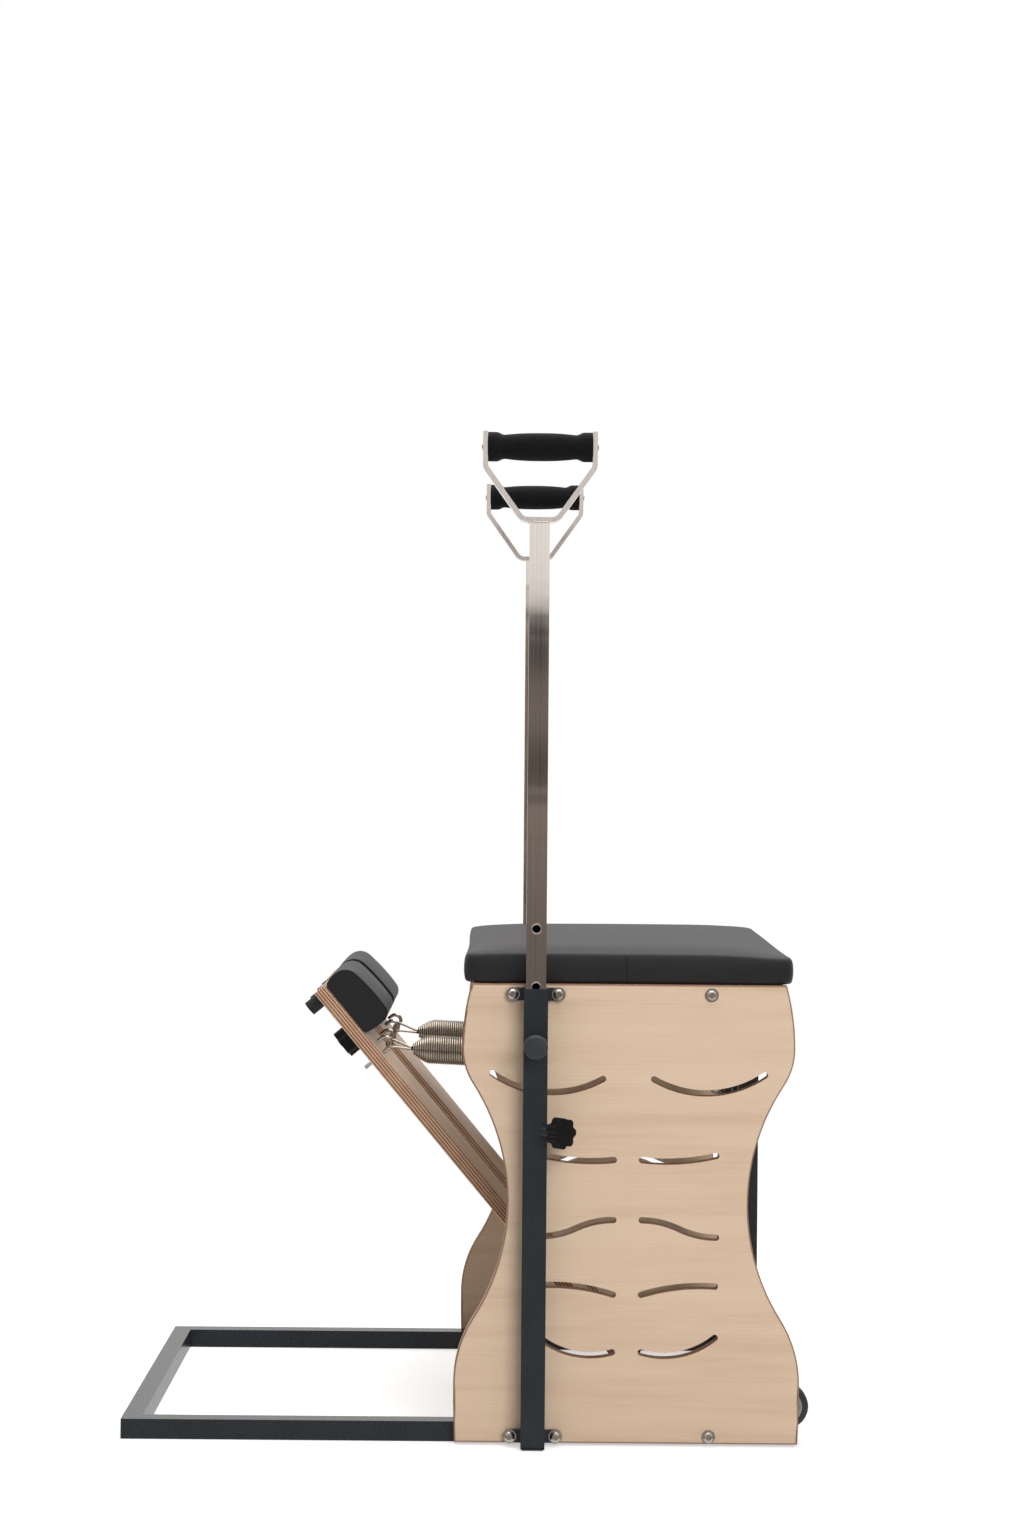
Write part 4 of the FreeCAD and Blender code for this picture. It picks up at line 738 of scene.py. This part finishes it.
def rounded_line(points, radius, steps):
    """Points along straight runs that meet in arcs."""
    path = [Vector(points[0])]
    for before, corner, after in zip(points, points[1:], points[2:]):
        corner = Vector(corner)
        back = (Vector(before) - corner).normalized()
        on = (Vector(after) - corner).normalized()
        half = back.angle(on) / 2
        reach = radius / math.tan(half)
        middle = corner + (back + on).normalized() * (radius / math.sin(half) - radius)
        start, end = corner + back * reach, corner + on * reach
        path += [Vector(place) for place in arc_points(start, middle, end, steps)] + [end]
    return path + [Vector(points[-1])]


def handle_bar(side, middle):
    """Bent flat bar with eased edges."""
    path = rounded_line(BAR_LINE, BAR_BEND, 8)
    edge = []
    for across, out, start in ((1, 1, 90), (1, -1, 0), (-1, -1, -90), (-1, 1, -180)):
        for part in range(4):
            angle = math.radians(start - 30 * part)
            width = across * (POST_HALF - BAR_EDGE) + BAR_EDGE * math.cos(angle)
            edge.append((width, out * (BAR_HALF - BAR_EDGE) + BAR_EDGE * math.sin(angle)))
    rings = []
    for number, place in enumerate(path):
        ahead = heading(path, number)
        out = Vector((-ahead.y, ahead.x))
        flat = [(width, place + out * rise) for width, rise in edge]
        rings.append([middle + Vector((spot.x, width, spot.y)) for width, spot in flat])
    item = piece(side + "_flat_bar", lofted(side + "_flat_bar", rings), "chrome")
    item.data.set_sharp_from_angle(angle=BAR_SHARP)
    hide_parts(side + "_handle_bracket")
    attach(item, side + "_handle")


def turned(name, line, middle, sides, ends, swell=0.0):
    """Solid of revolution along X from half of its outline; swell makes it slightly uneven."""
    whole = [(-x, radius) for x, radius in reversed(line)] + [(x, radius) for x, radius in line if x > 0]
    rings = []
    for x, radius in whole:
        ring = []
        for part in range(sides):
            angle = 2 * math.pi * part / sides
            soft = radius * (1 + swell * math.sin(3 * angle + 40 * x))
            ring.append(middle + Vector((x, soft * math.cos(angle), soft * math.sin(angle))))
        rings.append(ring)
    return lofted(name, rings, ends)


def grip_and_rod(side, middle):
    name = side + "_foam_grip"
    item = piece(name, turned(name, GRIP_LINE, middle, 40, "joined", GRIP_SWELL), "foam")
    refine(item)
    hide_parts(side + "_grip")
    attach(item, side + "_handle")
    name = side + "_domed_rod"
    item = piece(name, turned(name, ROD_END, middle, 20, "flat"), "steel")
    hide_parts(side + "_grip_rod")
    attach(item, side + "_handle")


def index_rings(side, face):
    """Rolled lips of the post's index holes."""
    out_of_face = Vector((0, SIDES[side], 0))
    for number, level in enumerate(INDEX_LEVELS):
        spot = Vector((UPRIGHT_X, face, level))
        rings = []
        for part in range(INDEX_SIDES):
            angle = 2 * math.pi * part / INDEX_SIDES
            out = Vector((math.cos(angle), 0, math.sin(angle)))
            rings.append([spot + out * reach + out_of_face * rise for reach, rise in INDEX_LIP])
        name = "%s_index_ring_%d" % (side, number + 1)
        item = piece(name, lofted(name, rings, "joined"), "steel")
        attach(item, side + "_handle")


def weld_bead(side, face):
    """Uneven bead where the bar meets the post's face."""
    y = face - SIDES[side] * WELD_SINK
    path = []
    for part in range(WELD_STEPS + 1):
        x = UPRIGHT_X - WELD_HALF + 2 * WELD_HALF * part / WELD_STEPS
        lift = 0.0004 * math.sin(part * 1.9) + 0.0003 * math.sin(part * 0.7)
        path.append(Vector((x, y, GRIP_Z - WELD_LOW + lift)))
    item = piece(side + "_weld", tube(side + "_weld", path, WELD_RADIUS), "steel")
    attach(item, side + "_handle")


def handle(side):
    middle = Vector((UPRIGHT_X, SIDES[side] * UPRIGHT_Y, GRIP_Z))
    face = SIDES[side] * (UPRIGHT_Y + POST_HALF)
    handle_bar(side, middle)
    grip_and_rod(side, middle)
    index_rings(side, face)
    weld_bead(side, face)


# Springs: close wound, with coned ends; the coil runs between its two bodies
WIRE = 0.00134
COIL = 0.01705
CONE = 0.0205
CONE_TURNS = 7
CONE_TIP = 0.0056
TIP_REACH = 0.029
PITCH = 0.00296
STEPS = 18
EYE = 0.0074
EYE_WIRE = 0.0016
EYE_STEPS = 28
EYE_SHIFT = 0.0016
REAR_EYE_SHIFT = 0.0026
EYE_DROP = 0.005
EYE_TILT = math.asin(EYE_DROP / TIP_REACH)
EYE_LEAN = math.radians(-8)
EYE_ROLL = {"left": math.radians(35), "right": math.radians(40)}
STEM_OUTER = TIP_REACH + 0.002
STEM_INNER = TIP_REACH - 0.004
STEM_SPREAD = EYE_WIRE * 1.2
COIL_START = TIP_REACH * math.cos(EYE_TILT)
SPRING_LENGTH = (REAR_SEAT - FRONT_SEAT).length
SPRING_FALL = math.asin((FRONT_SEAT.z - REAR_SEAT.z) / SPRING_LENGTH)


def coil_path():
    """Wire of the coil, from the front cone's tip, in the spring's own frame."""
    whole = SPRING_LENGTH - 2 * COIL_START
    body = whole - 2 * CONE
    body_turns = round(body / PITCH)
    turns = body_turns + 2 * CONE_TURNS
    path = []
    for number in range(turns * STEPS + 1):
        turn = number / STEPS
        from_end = min(turn, turns - turn)
        if from_end < CONE_TURNS:
            share = from_end / CONE_TURNS
            radius = CONE_TIP + (COIL - CONE_TIP) * (0.55 * share + 0.45 * math.sin(share * math.pi / 2))
            offset = CONE * share
        else:
            radius = COIL
            offset = CONE + body * (from_end - CONE_TURNS) / body_turns
        along = offset if turn <= turns / 2 else whole - offset
        angle = 2 * math.pi * turn
        y = radius * math.cos(angle)
        z = radius * math.sin(angle) - EYE_DROP
        path.append(Vector((COIL_START + along, y, z)))
    return path


def eye_path(roll, shift):
    """Drawn-out loop round a hook rod at the origin, its two wires meeting at the cone's tip."""
    touch = math.acos(EYE / (TIP_REACH - shift))
    twist = Matrix.Rotation(roll, 3, "X")
    stem = Matrix.Rotation(EYE_TILT, 3, "Y") @ twist
    lean = Matrix.Rotation(EYE_LEAN, 3, "Y") @ twist
    path = [stem @ Vector((STEM_OUTER, EYE_WIRE, 0)), stem @ Vector((STEM_INNER, STEM_SPREAD, 0))]
    for number in range(EYE_STEPS + 1):
        angle = touch + (2 * math.pi - 2 * touch) * number / EYE_STEPS
        path.append(lean @ Vector((shift + EYE * math.cos(angle), EYE * math.sin(angle), 0)))
    path.append(stem @ Vector((STEM_INNER, -STEM_SPREAD, 0)))
    path.append(stem @ Vector((STEM_OUTER, -EYE_WIRE, 0)))
    return path


def spring_wire(name, path, radius):
    return piece(name, tube(name, path, radius), "spring")


def spring(side):
    start = Vector((FRONT_SEAT.x, SPRING_Y[side], FRONT_SEAT.z))
    place = Matrix.Translation(start) @ Matrix.Rotation(SPRING_FALL, 4, "Y")
    coil = spring_wire(side + "_coil", [place @ point for point in coil_path()], WIRE)
    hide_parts(side + "_spring")
    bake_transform(coil)
    facing_back = Matrix.Translation((SPRING_LENGTH, 0, 0)) @ Matrix.Rotation(math.pi, 4, "Z")
    path = [place @ facing_back @ point for point in eye_path(0.0, REAR_EYE_SHIFT)]
    rear_eye = spring_wire(side + "_rear_eye", path, EYE_WIRE)
    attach(rear_eye, side + "_spring")
    path = [place @ point for point in eye_path(EYE_ROLL[side], EYE_SHIFT)]
    front_eye = spring_wire(side + "_front_eye", path, EYE_WIRE)
    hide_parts(side + "_spring_eye")
    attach(front_eye, side + "_spring_end")


seat_cushion()
for side in SIDES:
    foot_pad(side)
    handle(side)
    spring(side)


# Floor, light and background
FLOOR_REACH = 30.0
FLOOR_DROP = 0.0005
FLOOR_GREY = (0.8, 0.8, 0.8, 1.0)
FLOOR_LIFT = 0.5
# Distances from the chair between which the floor turns into the white sweep
SWEEP_START = 0.9
SWEEP_END = 2.2
# Height and brightness of the room in front of the chair, as mirrors see it
ROOM_LOW = -0.08
ROOM_HIGH = 0.07
ROOM = [
    (-0.080, 0.15), (-0.018, 0.23), (-0.0115, 0.34), (-0.0085, 0.075), (0.004, 0.085),
    (0.017, 0.22), (0.034, 0.16), (0.044, 0.035), (0.054, 0.06), (0.061, 0.97),
]
# Shares of green and blue in the room's dark and bright bands
DARK_CAST = (0.84, 0.75)
BRIGHT_CAST = (0.98, 0.96)
ROOM_PALE = (0.98, 0.96, 0.94, 1.0)
ROOM_BESIDE = (0.3, 0.27, 0.26, 1.0)
FILL_GREY = (0.17, 0.17, 0.17, 1.0)


def bare_nodes(owner):
    """Empty node tree of a material or a world."""
    owner.use_nodes = True
    owner.node_tree.nodes.clear()
    return Nodes(owner.node_tree)


def light_path(tree):
    """Kinds of rays, and a mark for those that see a place directly, not in a mirror or as light."""
    rays = tree.add("ShaderNodeLightPath").outputs
    return rays, tree.math("MAXIMUM", rays["Is Camera Ray"], rays["Is Transmission Ray"])


def backdrop_floor():
    mesh = bpy.data.meshes.new("floor")
    reach = FLOOR_REACH
    corners = [(-reach, -reach, 0), (reach, -reach, 0), (reach, reach, 0), (-reach, reach, 0)]
    mesh.from_pydata(corners, [], [(0, 1, 2, 3)])
    item = bpy.data.objects.new("floor", mesh)
    bpy.context.scene.collection.objects.link(item)
    material = bpy.data.materials.new("pale_floor")
    surface = bare_nodes(material)
    _, seen = light_path(surface)
    place = surface.add("ShaderNodeTexCoord").outputs["Object"]
    far = surface.times(surface.ease(surface.length(place), SWEEP_START, SWEEP_END), seen)
    diffuse = surface.add("ShaderNodeBsdfDiffuse", {"Color": FLOOR_GREY}).outputs[0]
    lift = surface.add("ShaderNodeEmission", {"Strength": surface.times(seen, FLOOR_LIFT)}).outputs[0]
    near = surface.add("ShaderNodeAddShader", {0: diffuse, 1: lift}).outputs[0]
    sweep = surface.add("ShaderNodeEmission", {"Color": WHITE}).outputs[0]
    whole = surface.add("ShaderNodeMixShader", {0: far, 1: near, 2: sweep}).outputs[0]
    surface.add("ShaderNodeOutputMaterial", {"Surface": whole})
    mesh.materials.append(material)
    item.location.z = -FLOOR_DROP
    item.visible_glossy = False


def studio_world():
    """White sweep; mirrors also see the darker room that the chair faces."""
    world = bpy.data.worlds.new("studio")
    bpy.context.scene.world = world
    sky = bare_nodes(world)
    rays, seen = light_path(sky)
    way = sky.add("ShaderNodeTexCoord").outputs["Generated"]
    parts = sky.add("ShaderNodeSeparateXYZ", {0: way}).outputs
    stops = []
    for height, grey in ROOM:
        green, blue = DARK_CAST if grey < 0.5 else BRIGHT_CAST
        level = (height - ROOM_LOW) / (ROOM_HIGH - ROOM_LOW)
        stops.append((level, (grey, grey * green, grey * blue, 1.0)))
    bands = sky.ramp(sky.share(parts["Z"], ROOM_LOW, ROOM_HIGH), *stops)
    facing = sky.ease(sky.times(parts["Y"], -1.0), 0.0, 0.5)
    below = sky.ease(sky.times(parts["Z"], -1.0), 0.1, 0.5)
    beside = sky.ease(sky.math("ABSOLUTE", parts["X"]), 0.8, 0.95)
    room = sky.mix(facing, ROOM_PALE, sky.mix(below, bands, ROOM_PALE))
    room = sky.mix(beside, room, ROOM_BESIDE)
    light = sky.mix(rays["Is Glossy Ray"], FILL_GREY, room)
    colour = sky.mix(seen, light, WHITE)
    shown = sky.add("ShaderNodeBackground", {"Color": colour}).outputs[0]
    sky.add("ShaderNodeOutputWorld", {"Surface": shown})


def soft_lamp(name, place, aim, size, power, in_mirrors):
    data = bpy.data.lights.new(name, "AREA")
    data.shape = "RECTANGLE"
    data.size = size
    data.size_y = size
    data.energy = power
    lamp = bpy.data.objects.new(name, data)
    lamp.location = place
    lamp.rotation_euler = (Vector(aim) - Vector(place)).to_track_quat("-Z", "Y").to_euler()
    lamp.visible_glossy = in_mirrors
    bpy.context.scene.collection.objects.link(lamp)


backdrop_floor()
studio_world()
soft_lamp("overhead", (0.1, 0.1, 3.4), (0.1, 0.0, 0.0), 3.2, 90, True)
soft_lamp("front", (1.6, -4.2, 2.4), (0.1, 0.0, 0.5), 2.4, 127, False)
soft_lamp("side", (-3.2, 1.0, 1.9), (-0.3, 0.0, 0.5), 1.6, 30, False)

# Level camera, square to the near panel and rolled by half a degree
camera_data = bpy.data.cameras.new("camera")
camera_data.lens = 65.74
camera_data.sensor_width = 36.0
camera_data.shift_x = 0.0039
camera = bpy.data.objects.new("camera", camera_data)
camera.location = (0.0453, -3.810, 0.845)
camera.rotation_euler = (math.radians(90), math.radians(-0.47), 0.0)
bpy.context.scene.collection.objects.link(camera)
bpy.context.scene.camera = camera
bpy.context.scene.view_settings.view_transform = "Standard"

bpy.context.view_layer.update()
